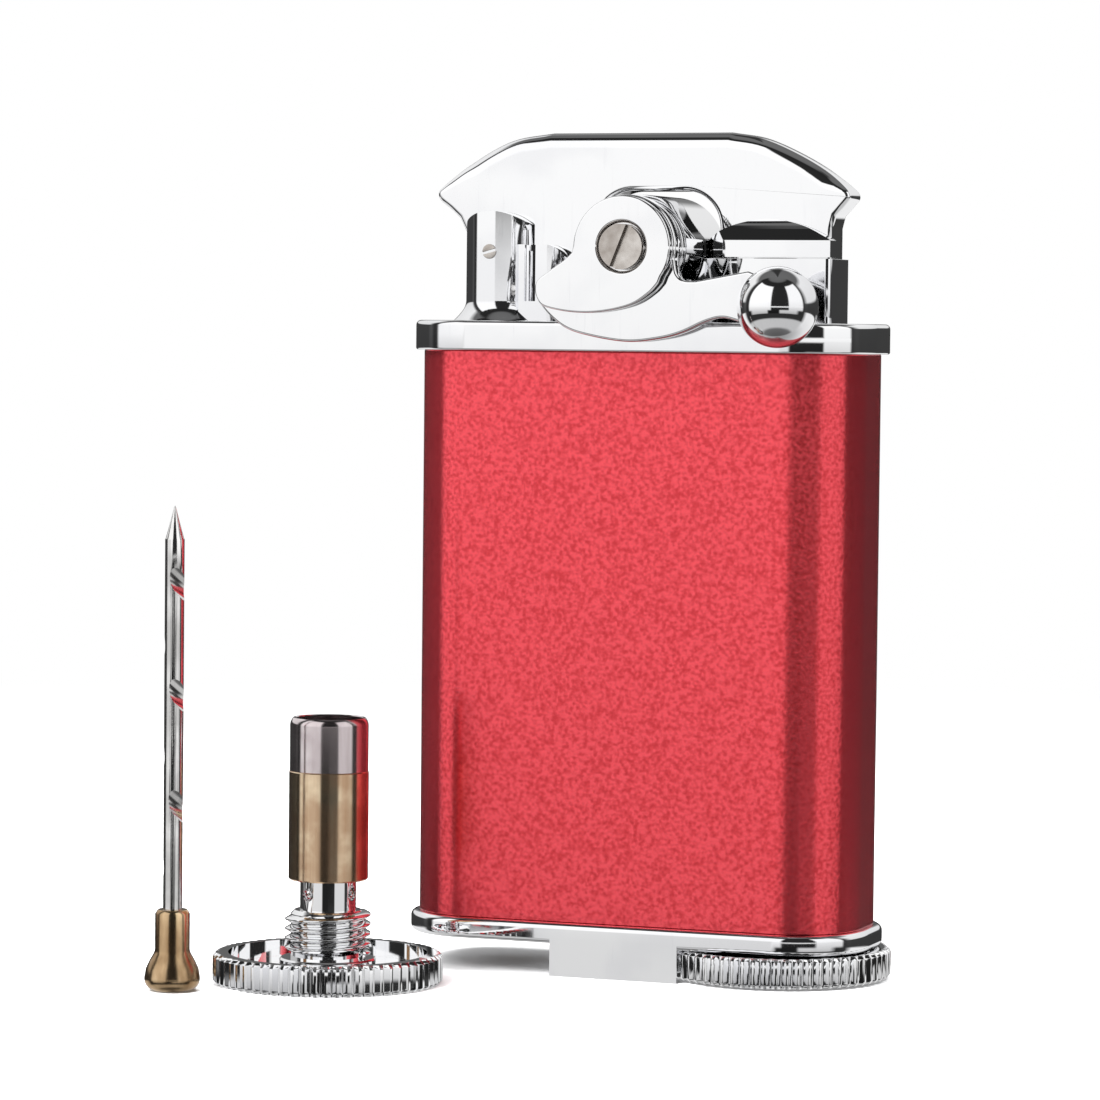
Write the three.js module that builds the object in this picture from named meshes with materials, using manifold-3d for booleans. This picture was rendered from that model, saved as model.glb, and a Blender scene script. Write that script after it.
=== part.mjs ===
// A lift-arm petrol pipe lighter with its loose tamper and pick.
// X runs towards the burner, -Y is the front, +Z is up. The origin is the middle of the foot's underside.
import * as THREE from "three";
import { mergeVertices } from "three/addons/utils/BufferGeometryUtils.js";
import Module from "manifold-3d";

const wasm = await Module();
wasm.setup();

// Driving dimensions, in millimetres.
const bodyWidth = 37.6;
const bodyDepth = 14;
const bodyCorner = 5.6;
const sleeveHeight = 46;
const sleeveWall = 0.5;
const footHeight = 2.6;
const baseThickness = 1.7;
const deckThickness = 2.4;
const lip = 0.7; // how far the two end plates stand out past the sleeve
const discRadius = 9.15;
const discSpacing = 22.8; // between the two sockets
const discThickness = 2.4;
const threadRadius = 3.45;
const hub = { x: 1.05, rise: 5.9 }; // the lever's axle above the deck
const hinge = { x: -12.5, rise: 5.6 }; // the arm's pin above the deck
const burner = { x: 11, y: -0.9 };
const armThickness = 3.3;
const armTop = 15.3; // above the deck
const leverThickness = 1.4;
const camThickness = 1;
const ballRadius = 3.2;
const leverSwing = 50; // degrees
const armSwing = 36; // degrees
const toolPlace = { x: -20.4, y: -18 };
const pickPlace = { x: -29.6, y: -27.4 };
const pickLength = 38;
const slack = 0.1; // between faces that pass each other
const gap = 0.3; // between a piece and what is cut round it

// Levels and places that follow from them.
const baseTop = footHeight + baseThickness;
const sleeveTop = baseTop + sleeveHeight;
const deck = sleeveTop + deckThickness;
const hubZ = deck + hub.rise;
const hingeZ = deck + hinge.rise;
const socketX = discSpacing / 2;
const discLift = 0.15; // the fitted disc hangs this far above the table
const lipDepth = bodyDepth + 2 * lip;
const armFront = -armThickness / 2;
const leverBack = -lipDepth / 2 - gap;
const leverFront = leverBack - leverThickness;
const camBack = leverFront - slack;
const camFront = camBack - camThickness;
const housing = { radius: 4.25, front: -6.9, back: 2.6, left: -2.6, right: 3.9 };
const chimney = { left: 3.95, right: 16.2, front: -3.5, back: 1.75, height: 5.15, corner: 0.5 };
const facet = { x: 7.25, y: -2 }; // the chimney's front left corner is cut away from here to here
const chimneyTop = deck + chimney.height;
const capBottom = chimneyTop + slack;

const degrees = THREE.MathUtils.degToRad;

// ---------------------------------------------------------------- solids

// A closed geometry as a solid that can be joined and cut.
function solid(geometry) {
  const bare = geometry.index ? geometry.toNonIndexed() : geometry.clone();
  bare.deleteAttribute("normal");
  bare.deleteAttribute("uv");
  const merged = mergeVertices(bare, 1e-4);
  const mesh = new wasm.Mesh({
    numProp: 3,
    vertProperties: merged.attributes.position.array,
    triVerts: new Uint32Array(merged.index.array),
  });
  return new wasm.Manifold(mesh);
}

function join(first, ...others) {
  return others.reduce((sum, geometry) => sum.add(solid(geometry)), solid(first));
}

function cut(first, ...others) {
  const start = first instanceof wasm.Manifold ? first : solid(first);
  return others.reduce((sum, geometry) => sum.subtract(solid(geometry)), start);
}

function geometryOf(made) {
  const mesh = made.getMesh();
  const geometry = new THREE.BufferGeometry();
  geometry.setAttribute("position", new THREE.BufferAttribute(mesh.vertProperties, 3));
  geometry.setIndex(new THREE.BufferAttribute(mesh.triVerts, 1));
  return geometry;
}

// A plan outline, drawn in X and Y, standing from one level to another.
function standing(shape, from, to, curveSegments = 8) {
  const geometry = new THREE.ExtrudeGeometry(shape, {
    depth: to - from,
    bevelEnabled: false,
    curveSegments,
  });
  return geometry.translate(0, 0, from);
}

// The same with both rims rounded inside the outline.
function roundedSlab(shape, from, to, edge, curveSegments = 6) {
  const geometry = new THREE.ExtrudeGeometry(shape, {
    depth: to - from - 2 * edge,
    bevelThickness: edge,
    bevelSize: edge,
    bevelOffset: -edge,
    bevelSegments: 2,
    curveSegments,
  });
  return geometry.translate(0, 0, from + edge);
}

// A front outline, drawn in X and Z, reaching from a front plane to a back plane.
function facing(shape, front, back, edge = 0, curveSegments = 8) {
  const geometry = new THREE.ExtrudeGeometry(shape, {
    depth: back - front - 2 * edge,
    bevelEnabled: edge > 0,
    bevelThickness: edge,
    bevelSize: edge,
    bevelOffset: -edge,
    bevelSegments: 1,
    curveSegments,
  });
  return geometry.rotateX(Math.PI / 2).translate(0, back - edge, 0);
}

function upright(radius, from, to, x = 0, y = 0, sides = 24) {
  const geometry = new THREE.CylinderGeometry(radius, radius, to - from, sides);
  return geometry.rotateX(Math.PI / 2).translate(x, y, (from + to) / 2);
}

// A round bar along Y.
function crosswise(radius, front, back, x, z, sides = 32) {
  const geometry = new THREE.CylinderGeometry(radius, radius, back - front, sides);
  return geometry.translate(x, (front + back) / 2, z);
}

function block(x, y, z) {
  const geometry = new THREE.BoxGeometry(x[1] - x[0], y[1] - y[0], z[1] - z[0]);
  return geometry.translate((x[0] + x[1]) / 2, (y[0] + y[1]) / 2, (z[0] + z[1]) / 2);
}

// A turned piece from a closed profile of [radius, height] corners.
function turned(profile, x, y, sides = 48) {
  const points = profile.map(([radius, height]) => new THREE.Vector2(radius, height));
  const geometry = new THREE.LatheGeometry([...points, points[0].clone()], sides);
  return geometry.rotateX(Math.PI / 2).translate(x, y, 0);
}

// A round wire wound round the Z axis, as a closed coil.
function coil(radius, wire, from, to, turns, sides = 4) {
  class Helix extends THREE.Curve {
    getPoint(t) {
      const turn = 2 * Math.PI * turns * t;
      const height = from + (to - from) * t;
      return new THREE.Vector3(radius * Math.cos(turn), radius * Math.sin(turn), height);
    }
  }
  const section = new THREE.Shape();
  section.absarc(0, 0, wire, 0, 2 * Math.PI);
  return new THREE.ExtrudeGeometry(section, {
    steps: turns * 9,
    curveSegments: sides / 2,
    bevelEnabled: false,
    extrudePath: new Helix(),
  });
}

// ---------------------------------------------------------------- outlines

function roundedRectangle(left, right, front, back, radius) {
  const shape = new THREE.Shape();
  shape.moveTo(left + radius, front);
  shape.lineTo(right - radius, front);
  shape.absarc(right - radius, front + radius, radius, -Math.PI / 2, 0);
  shape.lineTo(right, back - radius);
  shape.absarc(right - radius, back - radius, radius, 0, Math.PI / 2);
  shape.lineTo(left + radius, back);
  shape.absarc(left + radius, back - radius, radius, Math.PI / 2, Math.PI);
  shape.lineTo(left, front + radius);
  shape.absarc(left + radius, front + radius, radius, Math.PI, 1.5 * Math.PI);
  return shape;
}

function bodyOutline(offset) {
  const x = bodyWidth / 2 + offset;
  const y = bodyDepth / 2 + offset;
  return roundedRectangle(-x, x, -y, y, bodyCorner + offset);
}

// The foot between the discs: its two sides are hollowed round the discs.
function footOutline() {
  const reach = lipDepth / 2;
  const hollow = discRadius + 0.6;
  const angle = Math.asin(reach / hollow);
  const corner = socketX - hollow * Math.cos(angle);
  const shape = new THREE.Shape();
  shape.moveTo(-corner, -reach);
  shape.lineTo(corner, -reach);
  shape.absarc(socketX, 0, hollow, Math.PI + angle, Math.PI - angle, true);
  shape.lineTo(-corner, reach);
  shape.absarc(-socketX, 0, hollow, angle, -angle, true);
  return shape;
}

// A disc outline with a straight knurl of V-shaped teeth.
function knurledOutline(radius, teeth, depth) {
  const shape = new THREE.Shape();
  for (let tooth = 0; tooth < teeth; tooth++) {
    [[0, radius], [0.5, radius - depth]].forEach(([step, reach], index) => {
      const angle = (2 * Math.PI * (tooth + step)) / teeth;
      const point = [reach * Math.cos(angle), reach * Math.sin(angle)];
      if (tooth === 0 && index === 0) shape.moveTo(...point);
      else shape.lineTo(...point);
    });
  }
  shape.closePath();
  return shape;
}

function polygon(points) {
  const shape = new THREE.Shape();
  points.forEach(([x, y], index) => (index ? shape.lineTo(x, y) : shape.moveTo(x, y)));
  shape.closePath();
  return shape;
}

// ---------------------------------------------------------------- the body

function bodySleeve() {
  const shape = bodyOutline(0);
  shape.holes.push(bodyOutline(-sleeveWall));
  return standing(shape, baseTop, sleeveTop);
}

const flint = { x: 0, y: -1.9, radius: 1.2, length: 5 };
const flintTube = { inner: 1.35, outer: 1.65 };
const flintScrewHead = 1.3;
const wickTubeRadius = 1.7;
const wickRadius = 1.25;
const wickBottom = sleeveTop - 1.4;
const socketRadius = threadRadius + 0.2;

function topPlate() {
  return cut(
    roundedSlab(bodyOutline(lip), sleeveTop, deck, 0.4),
    upright(flintTube.outer + slack, sleeveTop - 1, deck + 1, flint.x, flint.y),
    upright(wickTubeRadius + slack, sleeveTop - 1, deck + 1, burner.x, burner.y),
  );
}

function basePlate() {
  const slab = roundedSlab(bodyOutline(lip), footHeight, baseTop, 0.5);
  const foot = standing(footOutline(), 0, baseTop - 0.6);
  return cut(
    join(slab, foot),
    upright(socketRadius, footHeight - 1, baseTop + 1, -socketX, 0, 32),
    upright(socketRadius, footHeight - 1, baseTop + 1, socketX, 0, 32),
    upright(flintTube.inner + slack, -1, baseTop + 1, flint.x, flint.y),
    upright(flintScrewHead + slack + 0.05, -1, 0.8, flint.x, flint.y),
  );
}

const tankWall = 0.4;
const tankLeft = 2.4;
const tankRight = bodyWidth / 2 - sleeveWall - slack;
const tankReach = bodyDepth / 2 - sleeveWall - slack;

function tankOutline(inset) {
  const radius = bodyCorner - sleeveWall - slack - inset;
  const right = tankRight - inset;
  const reach = tankReach - inset;
  return roundedRectangle(tankLeft + inset, right, -reach, reach, radius);
}

function fuelTank() {
  return cut(
    standing(tankOutline(0), baseTop + slack, sleeveTop - slack, 5),
    standing(tankOutline(tankWall), baseTop + tankWall, sleeveTop - tankWall, 5),
    upright(socketRadius, baseTop - 1, baseTop + 1, socketX, 0, 32),
    upright(wickTubeRadius + slack, sleeveTop - 1, sleeveTop + 1, burner.x, burner.y),
  );
}

const feltBottom = baseTop + 4;
const feltThickness = 1.2;
const packingInset = tankWall + 0.2; // the felt and the wadding stay this far inside the tank's outline

function feltPad() {
  return standing(tankOutline(packingInset), feltBottom, feltBottom + feltThickness, 4);
}

function tankWadding() {
  const bottom = feltBottom + feltThickness + slack;
  return standing(tankOutline(packingInset), bottom, sleeveTop - 1.6, 4);
}

function wickTube() {
  const outer = wickTubeRadius - slack;
  const shape = new THREE.Shape().absarc(burner.x, burner.y, outer, 0, 2 * Math.PI);
  shape.holes.push(new THREE.Path().absarc(burner.x, burner.y, wickRadius + slack, 0, 2 * Math.PI));
  return standing(shape, wickBottom + slack, deck + 2.9, 12);
}

function wick() {
  return upright(wickRadius, wickBottom, deck + 3.9, burner.x, burner.y, 16);
}

function toolTube() {
  const shape = new THREE.Shape().absarc(-socketX, 0, socketRadius + 0.4, 0, 2 * Math.PI);
  shape.holes.push(new THREE.Path().absarc(-socketX, 0, socketRadius, 0, 2 * Math.PI));
  return standing(shape, baseTop + slack, sleeveTop - slack, 16);
}

// ---------------------------------------------------------------- the flint

function flintTubeBody() {
  const shape = new THREE.Shape().absarc(flint.x, flint.y, flintTube.outer, 0, 2 * Math.PI);
  shape.holes.push(new THREE.Path().absarc(flint.x, flint.y, flintTube.inner, 0, 2 * Math.PI));
  return standing(shape, baseTop + slack, deck + 1.4, 10);
}

const wheelRadius = 3.3;
const flintTop = hubZ - wheelRadius - slack;
const flintBottom = flintTop - flint.length;
const flintScrewTop = baseTop + 4;

function flintRod() {
  return upright(flint.radius, flintBottom, flintTop, flint.x, flint.y, 16);
}

function flintSpring() {
  const wire = 0.22;
  const low = flintScrewTop + wire + slack;
  const high = flintBottom - wire - slack;
  return coil(0.95, wire, low, high, 11).translate(flint.x, flint.y, 0);
}

function flintScrew() {
  return cut(
    join(
      upright(flintScrewHead, 0.25, 0.7, flint.x, flint.y),
      upright(1.15, 0.5, flintScrewTop, flint.x, flint.y),
    ),
    block([flint.x - 0.2, flint.x + 0.2], [flint.y - 2, flint.y + 2], [0, 0.5]),
  );
}

// ---------------------------------------------------------------- the deck's fixed pieces

const tower = {
  radius: 2.9,
  straight: 2.7,
  domeRadius: 4.4,
  top: 8.9,
  flare: 1,
  flareHeight: 1.6,
  grooveRadius: 0.9,
};
const pinRadius = 0.6;

function towerOutline() {
  const x = tower.radius;
  const y = tower.radius + tower.straight / 2;
  return roundedRectangle(hinge.x - x, hinge.x + x, -y, y, x - 0.001);
}

// The post that holds the arm: a slotted column with a domed top, and the low cheek beside it.
function hingeTower() {
  const topZ = deck + tower.top;
  const reach = tower.radius + tower.straight / 2;
  const column = solid(standing(towerOutline(), deck, topZ, 6)).intersect(
    solid(crosswise(tower.domeRadius, -reach - 1, reach + 1, hinge.x, topZ - tower.domeRadius, 40)),
  );
  const root = solid(standing(towerOutline(), deck, deck + 3, 6)).add(flaredRoot());
  const whole = column.add(root).add(guideCheek());
  const slotReach = armThickness / 2 + slack;
  const grooveX = hinge.x + tower.radius + 0.4;
  return cut(
    whole,
    block([hinge.x - 5, -8.9], [-slotReach, slotReach], [hingeZ - 3.1, topZ + 1]),
    crosswise(pinRadius + 0.05, -reach - 1, reach + 1, hinge.x, hingeZ, 24),
    upright(tower.grooveRadius, deck + tower.flareHeight, topZ - 1.5, grooveX, armFront - 1.2, 20),
  );
}

function flaredRoot() {
  const geometry = new THREE.ExtrudeGeometry(towerOutline(), {
    depth: 0.01,
    bevelThickness: tower.flareHeight,
    bevelSize: tower.flare,
    bevelOffset: 0,
    bevelSegments: 1,
    curveSegments: 6,
  });
  return solid(geometry.translate(0, 0, deck)).intersect(
    solid(block([-30, 0], [-20, 20], [deck, deck + 5])),
  );
}

// A low lug in front of the arm that keeps it straight, with one shoulder rounded off.
const guide = { left: -10, right: -6.5, front: -3.6, height: 6.2, radius: 1.5 };

function guideCheek() {
  const back = armFront - slack;
  const top = deck + guide.height;
  const side = new THREE.Shape();
  side.moveTo(guide.left, deck);
  side.lineTo(guide.right, deck);
  side.lineTo(guide.right, top - guide.radius);
  side.absarc(guide.right - guide.radius, top - guide.radius, guide.radius, 0, Math.PI / 2);
  side.lineTo(guide.left, top);
  const plan = new THREE.Shape();
  plan.moveTo(guide.left, guide.front);
  plan.lineTo(guide.right - guide.radius, guide.front);
  plan.absarc(
    guide.right - guide.radius,
    guide.front + guide.radius,
    guide.radius,
    -Math.PI / 2,
    0,
  );
  plan.lineTo(guide.right, back);
  plan.lineTo(guide.left, back);
  return solid(facing(side, guide.front - 1, back + 1)).intersect(
    solid(standing(plan, deck, top + 1)),
  );
}

function armPin() {
  const reach = tower.radius + tower.straight / 2;
  return cut(
    crosswise(pinRadius, -reach - 0.05, reach - 0.1, hinge.x, hingeZ, 24),
    block([-1, 1], [-reach - 1, -reach + 0.15], [-0.1, 0.1])
      .rotateY(degrees(-15))
      .translate(hinge.x, 0, hingeZ),
  );
}

const wheel = { front: flint.y - 1.7, back: flint.y + 1.7 };
const axleRadius = 1;
const axleHole = axleRadius + 0.15;
const springRecess = { radius: 2.6, depth: 2.4 };

// The round drum over the flint wheel, on its pedestal, open towards the wick.
function wheelHousing() {
  const { radius, front, back, left, right } = housing;
  const cavity = wheelRadius + 0.25;
  return cut(
    join(
      crosswise(radius, front, back, hub.x, hubZ, 40),
      block([left, right], [front, back], [deck, hubZ]),
    ),
    crosswise(axleHole, front - 1, back + 1, hub.x, hubZ, 24),
    crosswise(cavity, wheel.front - 0.2, wheel.back + 0.2, hub.x, hubZ, 32),
    crosswise(springRecess.radius, front - 1, front + springRecess.depth, hub.x, hubZ, 32),
    block(
      [hub.x + 1.5, hub.x + radius + 1],
      [facet.y, wheel.back + 0.2],
      [hubZ - 2.6, hubZ + 0.8],
    ),
    upright(flintTube.outer + slack, deck - 1, hubZ, flint.x, flint.y),
  );
}

// The burner's windshield: a block bored for the wick, open towards the wheel and on top.
function burnerChimney() {
  const { left, right, front, back, corner } = chimney;
  const plan = polygon([
    [facet.x, front],
    [right - corner, front],
    [right, front + corner],
    [right, back - corner],
    [right - corner, back],
    [left, back],
    [left, facet.y],
  ]);
  return cut(
    standing(plan, deck, chimneyTop),
    upright(2.2, deck - 1, chimneyTop + 1, burner.x, burner.y, 32),
    block([left - 1, burner.x], [burner.y - 1.2, burner.y + 1.2], [deck + 2.7, chimneyTop + 1]),
    crosswise(housing.radius + gap, front - 1, back + 1, hub.x, hubZ, 48),
  );
}

// ---------------------------------------------------------------- the arm and its snuffer

// Where the lift pin is when the lever has turned by an angle, seen from the arm as it lifts with it.
const liftPin = { x: -5, z: 55.3, radius: 0.6 };

function liftPinSeenByArm(leverAngle) {
  const place = new THREE.Vector2(liftPin.x, liftPin.z);
  const hubCentre = new THREE.Vector2(hub.x, hubZ);
  const hingeCentre = new THREE.Vector2(hinge.x, hingeZ);
  const armAngle = (leverAngle * armSwing) / leverSwing;
  place.rotateAround(hubCentre, -degrees(leverAngle));
  return place.rotateAround(hingeCentre, -degrees(armAngle));
}

// The wing-shaped outline, and the arch in it that clears the wheel housing.
function armOutline() {
  const top = deck + armTop;
  const tip = [-18.2, deck + 10.8];
  const corner = [17.2, deck + 10.3];
  const rightEdge = 15.7;
  const knuckle = 2.7;
  const arch = { half: 5.2, rise: 4.7, radius: 3 };
  const underside = hingeZ - 2.3;
  const chin = [-15.6, deck + 8.1]; // where the outline turns in under the tip
  const flat = { left: -8.7, right: 7.6 }; // the straight part of the top
  const shape = new THREE.Shape();
  shape.moveTo(tip[0], tip[1]);
  shape.lineTo(chin[0], chin[1]);
  shape.lineTo(hinge.x - knuckle, hingeZ + 0.8);
  shape.lineTo(hinge.x - knuckle, hingeZ);
  shape.absarc(hinge.x, hingeZ, knuckle, Math.PI, 1.5 * Math.PI + 0.5);
  shape.lineTo(hinge.x + 2.6, underside);
  shape.lineTo(hub.x - arch.half, underside);
  shape.lineTo(hub.x - arch.half, hubZ + arch.rise - arch.radius);
  shape.absarc(
    hub.x - arch.half + arch.radius,
    hubZ + arch.rise - arch.radius,
    arch.radius,
    Math.PI,
    Math.PI / 2,
    true,
  );
  shape.absarc(
    hub.x + arch.half - arch.radius,
    hubZ + arch.rise - arch.radius,
    arch.radius,
    Math.PI / 2,
    0,
    true,
  );
  shape.lineTo(hub.x + arch.half, capBottom);
  shape.lineTo(rightEdge, capBottom);
  shape.lineTo(rightEdge, deck + 8.2);
  shape.quadraticCurveTo(corner[0] + 0.1, corner[1] - 1, corner[0], corner[1]);
  shape.lineTo(corner[0] - 0.3, corner[1] + 0.6);
  shape.quadraticCurveTo(11.6, top - 0.1, flat.right, top);
  shape.lineTo(flat.left, top);
  shape.quadraticCurveTo(-12, top - 0.5, tip[0] + 0.7, tip[1] + 1);
  return shape;
}

function snufferArm() {
  const notchSteps = 10;
  const notches = Array.from({ length: notchSteps + 1 }, (_, step) => {
    const place = liftPinSeenByArm((leverSwing * step) / notchSteps);
    return crosswise(liftPin.radius + 0.12, armFront - 1, 3, place.x, place.y, 20);
  });
  return cut(
    facing(armOutline(), armFront, -armFront, 0.4, 5),
    crosswise(pinRadius + 0.15, armFront - 1, 3, hinge.x, hingeZ, 24),
    ...notches,
  );
}

// The hood in front of the arm that closes the burner: its top slopes down to a straight brow.
function snufferCap() {
  const left = 5.55;
  const right = chimney.right - slack;
  const front = chimney.front + slack;
  const brow = capBottom + 1.35;
  const crown = capBottom + 3.1;
  const cornerCut = 1.6;
  const side = new THREE.Shape();
  side.moveTo(left, capBottom);
  side.lineTo(right, capBottom);
  side.lineTo(right, brow);
  side.quadraticCurveTo((left + right) / 2 - 0.5, 2 * crown - brow - 0.4, left, brow + 0.8);
  const slopeFrom = new THREE.Vector2(front, brow);
  const slopeTo = new THREE.Vector2(armFront, crown);
  const slope = slopeTo.clone().sub(slopeFrom).angle();
  const above = block([0, 30], [-5, 5], [0, 5]).rotateX(slope).translate(0, front, brow);
  const bevel = block([-4, 0], [-4, 4], [-10, 10])
    .rotateZ(degrees(45))
    .translate(left + cornerCut, front, capBottom);
  return cut(facing(side, front, armFront - slack, 0, 12), above, bevel);
}

function capSeal() {
  return upright(1.95, capBottom - 0.85, capBottom - 0.05, burner.x, burner.y, 24);
}

// ---------------------------------------------------------------- the lever

// The thumb lever: a round hub with a deep belly under it and an arm out to the ball.
function thumbLever() {
  const hubRadius = 4.15;
  const end = { x: 14, z: deck + 1.3, radius: 1.7 };
  const start = degrees(-12);
  const shape = new THREE.Shape();
  shape.moveTo(hub.x + hubRadius * Math.cos(start), hubZ + hubRadius * Math.sin(start));
  shape.absarc(hub.x, hubZ, hubRadius, start, degrees(190));
  const belly = [
    [-5.6, 56.2],
    [-6.3, 54.9],
    [-5.9, 53.7],
    [-4.1, 52.2],
    [-1.8, 51.5],
    [1.2, 51.1],
    [3.8, 51.35],
    [5.75, 51.85],
    [7.8, 52.75],
    [9.2, 53.05],
    [10.8, 52.7],
  ];
  shape.splineThru(belly.map(([x, z]) => new THREE.Vector2(x, z)));
  shape.lineTo(end.x, end.z - end.radius);
  shape.absarc(end.x, end.z, end.radius, -Math.PI / 2, degrees(75));
  shape.lineTo(11.2, deck + 4.05);
  shape.lineTo(6.6, deck + 3.2);
  shape.quadraticCurveTo(5.4, deck + 3.3, 5.2, deck + 4.3);
  return cut(
    facing(shape, leverFront, leverBack, 0.2, 5),
    crosswise(axleHole, leverFront - 1, leverBack + 1, hub.x, hubZ, 24),
  );
}

function leverBall() {
  const centre = { x: 14.06, y: -10.6, z: deck + 1.25 };
  const ball = new THREE.SphereGeometry(ballRadius, 24, 14);
  return cut(
    ball.translate(centre.x, centre.y, centre.z),
    block([5, 25], [leverFront - 0.05, 0], [40, 70]),
  );
}

const screwHead = { radius: 1.8, proud: 0.25, sunk: 0.5, slotDepth: 0.4, slotHalf: 0.24 };

// The comma-shaped plate that turns with the lever and carries the pin that lifts the arm.
function camPlate() {
  const headRadius = 4.05;
  const shape = new THREE.Shape();
  const start = degrees(-30);
  shape.moveTo(hub.x + headRadius * Math.cos(start), hubZ + headRadius * Math.sin(start));
  shape.absarc(hub.x, hubZ, headRadius, start, degrees(172));
  const tail = [
    [-3.45, 57.75],
    [-5, 56.7],
    [-6, 55.95],
    [-6.2, 55.2],
    [-6, 54.4],
    [-5.3, 53.8],
    [-3, 53.4],
    [-0.6, 53.45],
    [1.85, 54],
    [3.4, 54.95],
  ];
  shape.splineThru(tail.map(([x, z]) => new THREE.Vector2(x, z)));
  return cut(
    facing(shape, camFront, camBack, 0.15, 5),
    crosswise(axleHole, camFront - 1, camBack + 1, hub.x, hubZ, 24),
    crosswise(screwHead.radius + 0.2, camFront - 1, camFront + 0.6, hub.x, hubZ, 32),
  );
}

function liftPinBody() {
  return crosswise(liftPin.radius, leverBack + slack / 2, -0.2, liftPin.x, liftPin.z, 20);
}

const driveDisc = { radius: 3.9, front: leverBack + slack, back: housing.front - slack };

function driveDiscBody() {
  const { radius, front, back } = driveDisc;
  return cut(
    crosswise(radius, front, back, hub.x, hubZ, 40),
    crosswise(axleHole, front - 1, back + 1, hub.x, hubZ, 24),
  );
}

function leverSpring() {
  const low = housing.front + 0.45;
  const high = housing.front + 1.95;
  return coil(1.9, 0.25, low, high, 2)
    .rotateX(-Math.PI / 2)
    .translate(hub.x, 0, hubZ);
}

// The slotted screw that is the lever's and the wheel's axle.
function pivotScrew() {
  const headBack = camFront + screwHead.sunk;
  const headFront = camFront - screwHead.proud;
  const { slotHalf, slotDepth } = screwHead;
  return cut(
    join(
      crosswise(screwHead.radius, headFront, headBack, hub.x, hubZ, 32),
      crosswise(axleRadius, headBack - 0.1, housing.back - 0.1, hub.x, hubZ, 24),
    ),
    block([-slotHalf, slotHalf], [headFront - 1, headFront + slotDepth], [-3, 3])
      .rotateY(degrees(22))
      .translate(hub.x, 0, hubZ),
  );
}

function flintWheel() {
  const shape = knurledOutline(wheelRadius, 40, 0.2);
  const hole = new THREE.Path().absarc(0, 0, axleHole, 0, 2 * Math.PI);
  shape.holes.push(hole);
  return facing(shape, wheel.front, wheel.back, 0, 8).translate(hub.x, 0, hubZ);
}

// ---------------------------------------------------------------- the screw plugs and tools

const rimInner = 7.9;
const dishFloor = 1.1;
const boss = { radius: 3.85, top: 2 };
const threadTop = 5.8;

// A knurled, dished disc with a threaded stub, standing on the given level.
function knurledPlug(x, y, level, extra = []) {
  const teeth = 64;
  const knurl = standing(knurledOutline(discRadius, teeth, 0.4), 0, discThickness);
  const ridges = 4;
  const pitch = (threadTop - boss.top) / ridges;
  const thread = [[0, 0.5], [boss.radius, 0.5], [boss.radius, boss.top]];
  for (let ridge = 0; ridge < ridges; ridge++) {
    const low = boss.top + ridge * pitch;
    thread.push([threadRadius - 0.5, low + 0.2 * pitch], [threadRadius, low + 0.6 * pitch]);
  }
  thread.push([threadRadius - 0.5, threadTop], [0, threadTop]);
  const dish = upright(rimInner, dishFloor, discThickness + 1, 0, 0, 36);
  const stub = solid(turned(thread, 0, 0, 24));
  const plug = extra.reduce((sum, geometry) => sum.add(solid(geometry)), cut(knurl, dish).add(stub));
  return plug.translate([x, y, level]);
}

function gasket(x, y, level) {
  const shape = new THREE.Shape().absarc(x, y, boss.radius + 1.3, 0, 2 * Math.PI);
  shape.holes.push(new THREE.Path().absarc(x, y, boss.radius + 0.15, 0, 2 * Math.PI));
  return standing(shape, level + dishFloor + 0.05, level + discThickness - 0.05, 14);
}

const tamperBore = 1.7;
const tool = { neckRadius: 2.23, neckTop: 8.2, barrelRadius: 3.17, barrelTop: 16.85, top: 21.1 };

function toolBase() {
  const stub = upright(tool.neckRadius, threadTop - 0.3, tool.neckTop + 2, 0, 0, 28);
  const crossHole = crosswise(0.55, -4, 4, 0, 0, 16);
  const { x, y } = toolPlace;
  return cut(
    knurledPlug(x, y, 0, [stub]),
    crossHole.clone().translate(x - 0.9, y, tool.neckTop - 1.1),
    crossHole.clone().rotateZ(Math.PI / 2).translate(x, y - 0.9, tool.neckTop - 1.1),
  );
}

function tamperBarrel() {
  const { x, y } = toolPlace;
  const socketTop = tool.neckTop + 2.2;
  return cut(
    upright(tool.barrelRadius, tool.neckTop, tool.barrelTop, x, y, 28),
    upright(tool.neckRadius + slack, tool.neckTop - 1, socketTop, x, y, 28),
    upright(tamperBore, socketTop - 1, tool.barrelTop + 1, x, y, 24),
  );
}

function tamperRing() {
  const { x, y } = toolPlace;
  const outer = tool.barrelRadius - 0.05;
  const inner = outer - 0.45;
  return turned(
    [
      [inner, tool.barrelTop],
      [outer, tool.barrelTop],
      [outer, tool.top - 0.5],
      [outer - 0.2, tool.top],
      [inner, tool.top],
    ],
    x,
    y,
    36,
  );
}

const pick = { radius: 0.76, knob: 2.19, knobHeight: 2.9, neck: 1.37, neckTop: 6.4 };

function pickHandle() {
  const { x, y } = pickPlace;
  const { knob, knobHeight, neck, neckTop } = pick;
  const bead = 0.9;
  const profile = [[0, 0], [knob - bead, 0]];
  for (let step = 1; step <= 4; step++) {
    const angle = degrees(-90 + step * 30);
    profile.push([knob - bead * (1 - Math.cos(angle)), bead * (1 + Math.sin(angle))]);
  }
  profile.push([knob - 0.4, knobHeight - 0.4], [neck, knobHeight + 0.1]);
  profile.push([neck, neckTop - 0.2], [neck - 0.2, neckTop], [0, neckTop]);
  return cut(
    turned(profile, x, y, 24),
    upright(pick.radius + slack, neckTop - 2, neckTop + 1, x, y, 20),
  );
}

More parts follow.
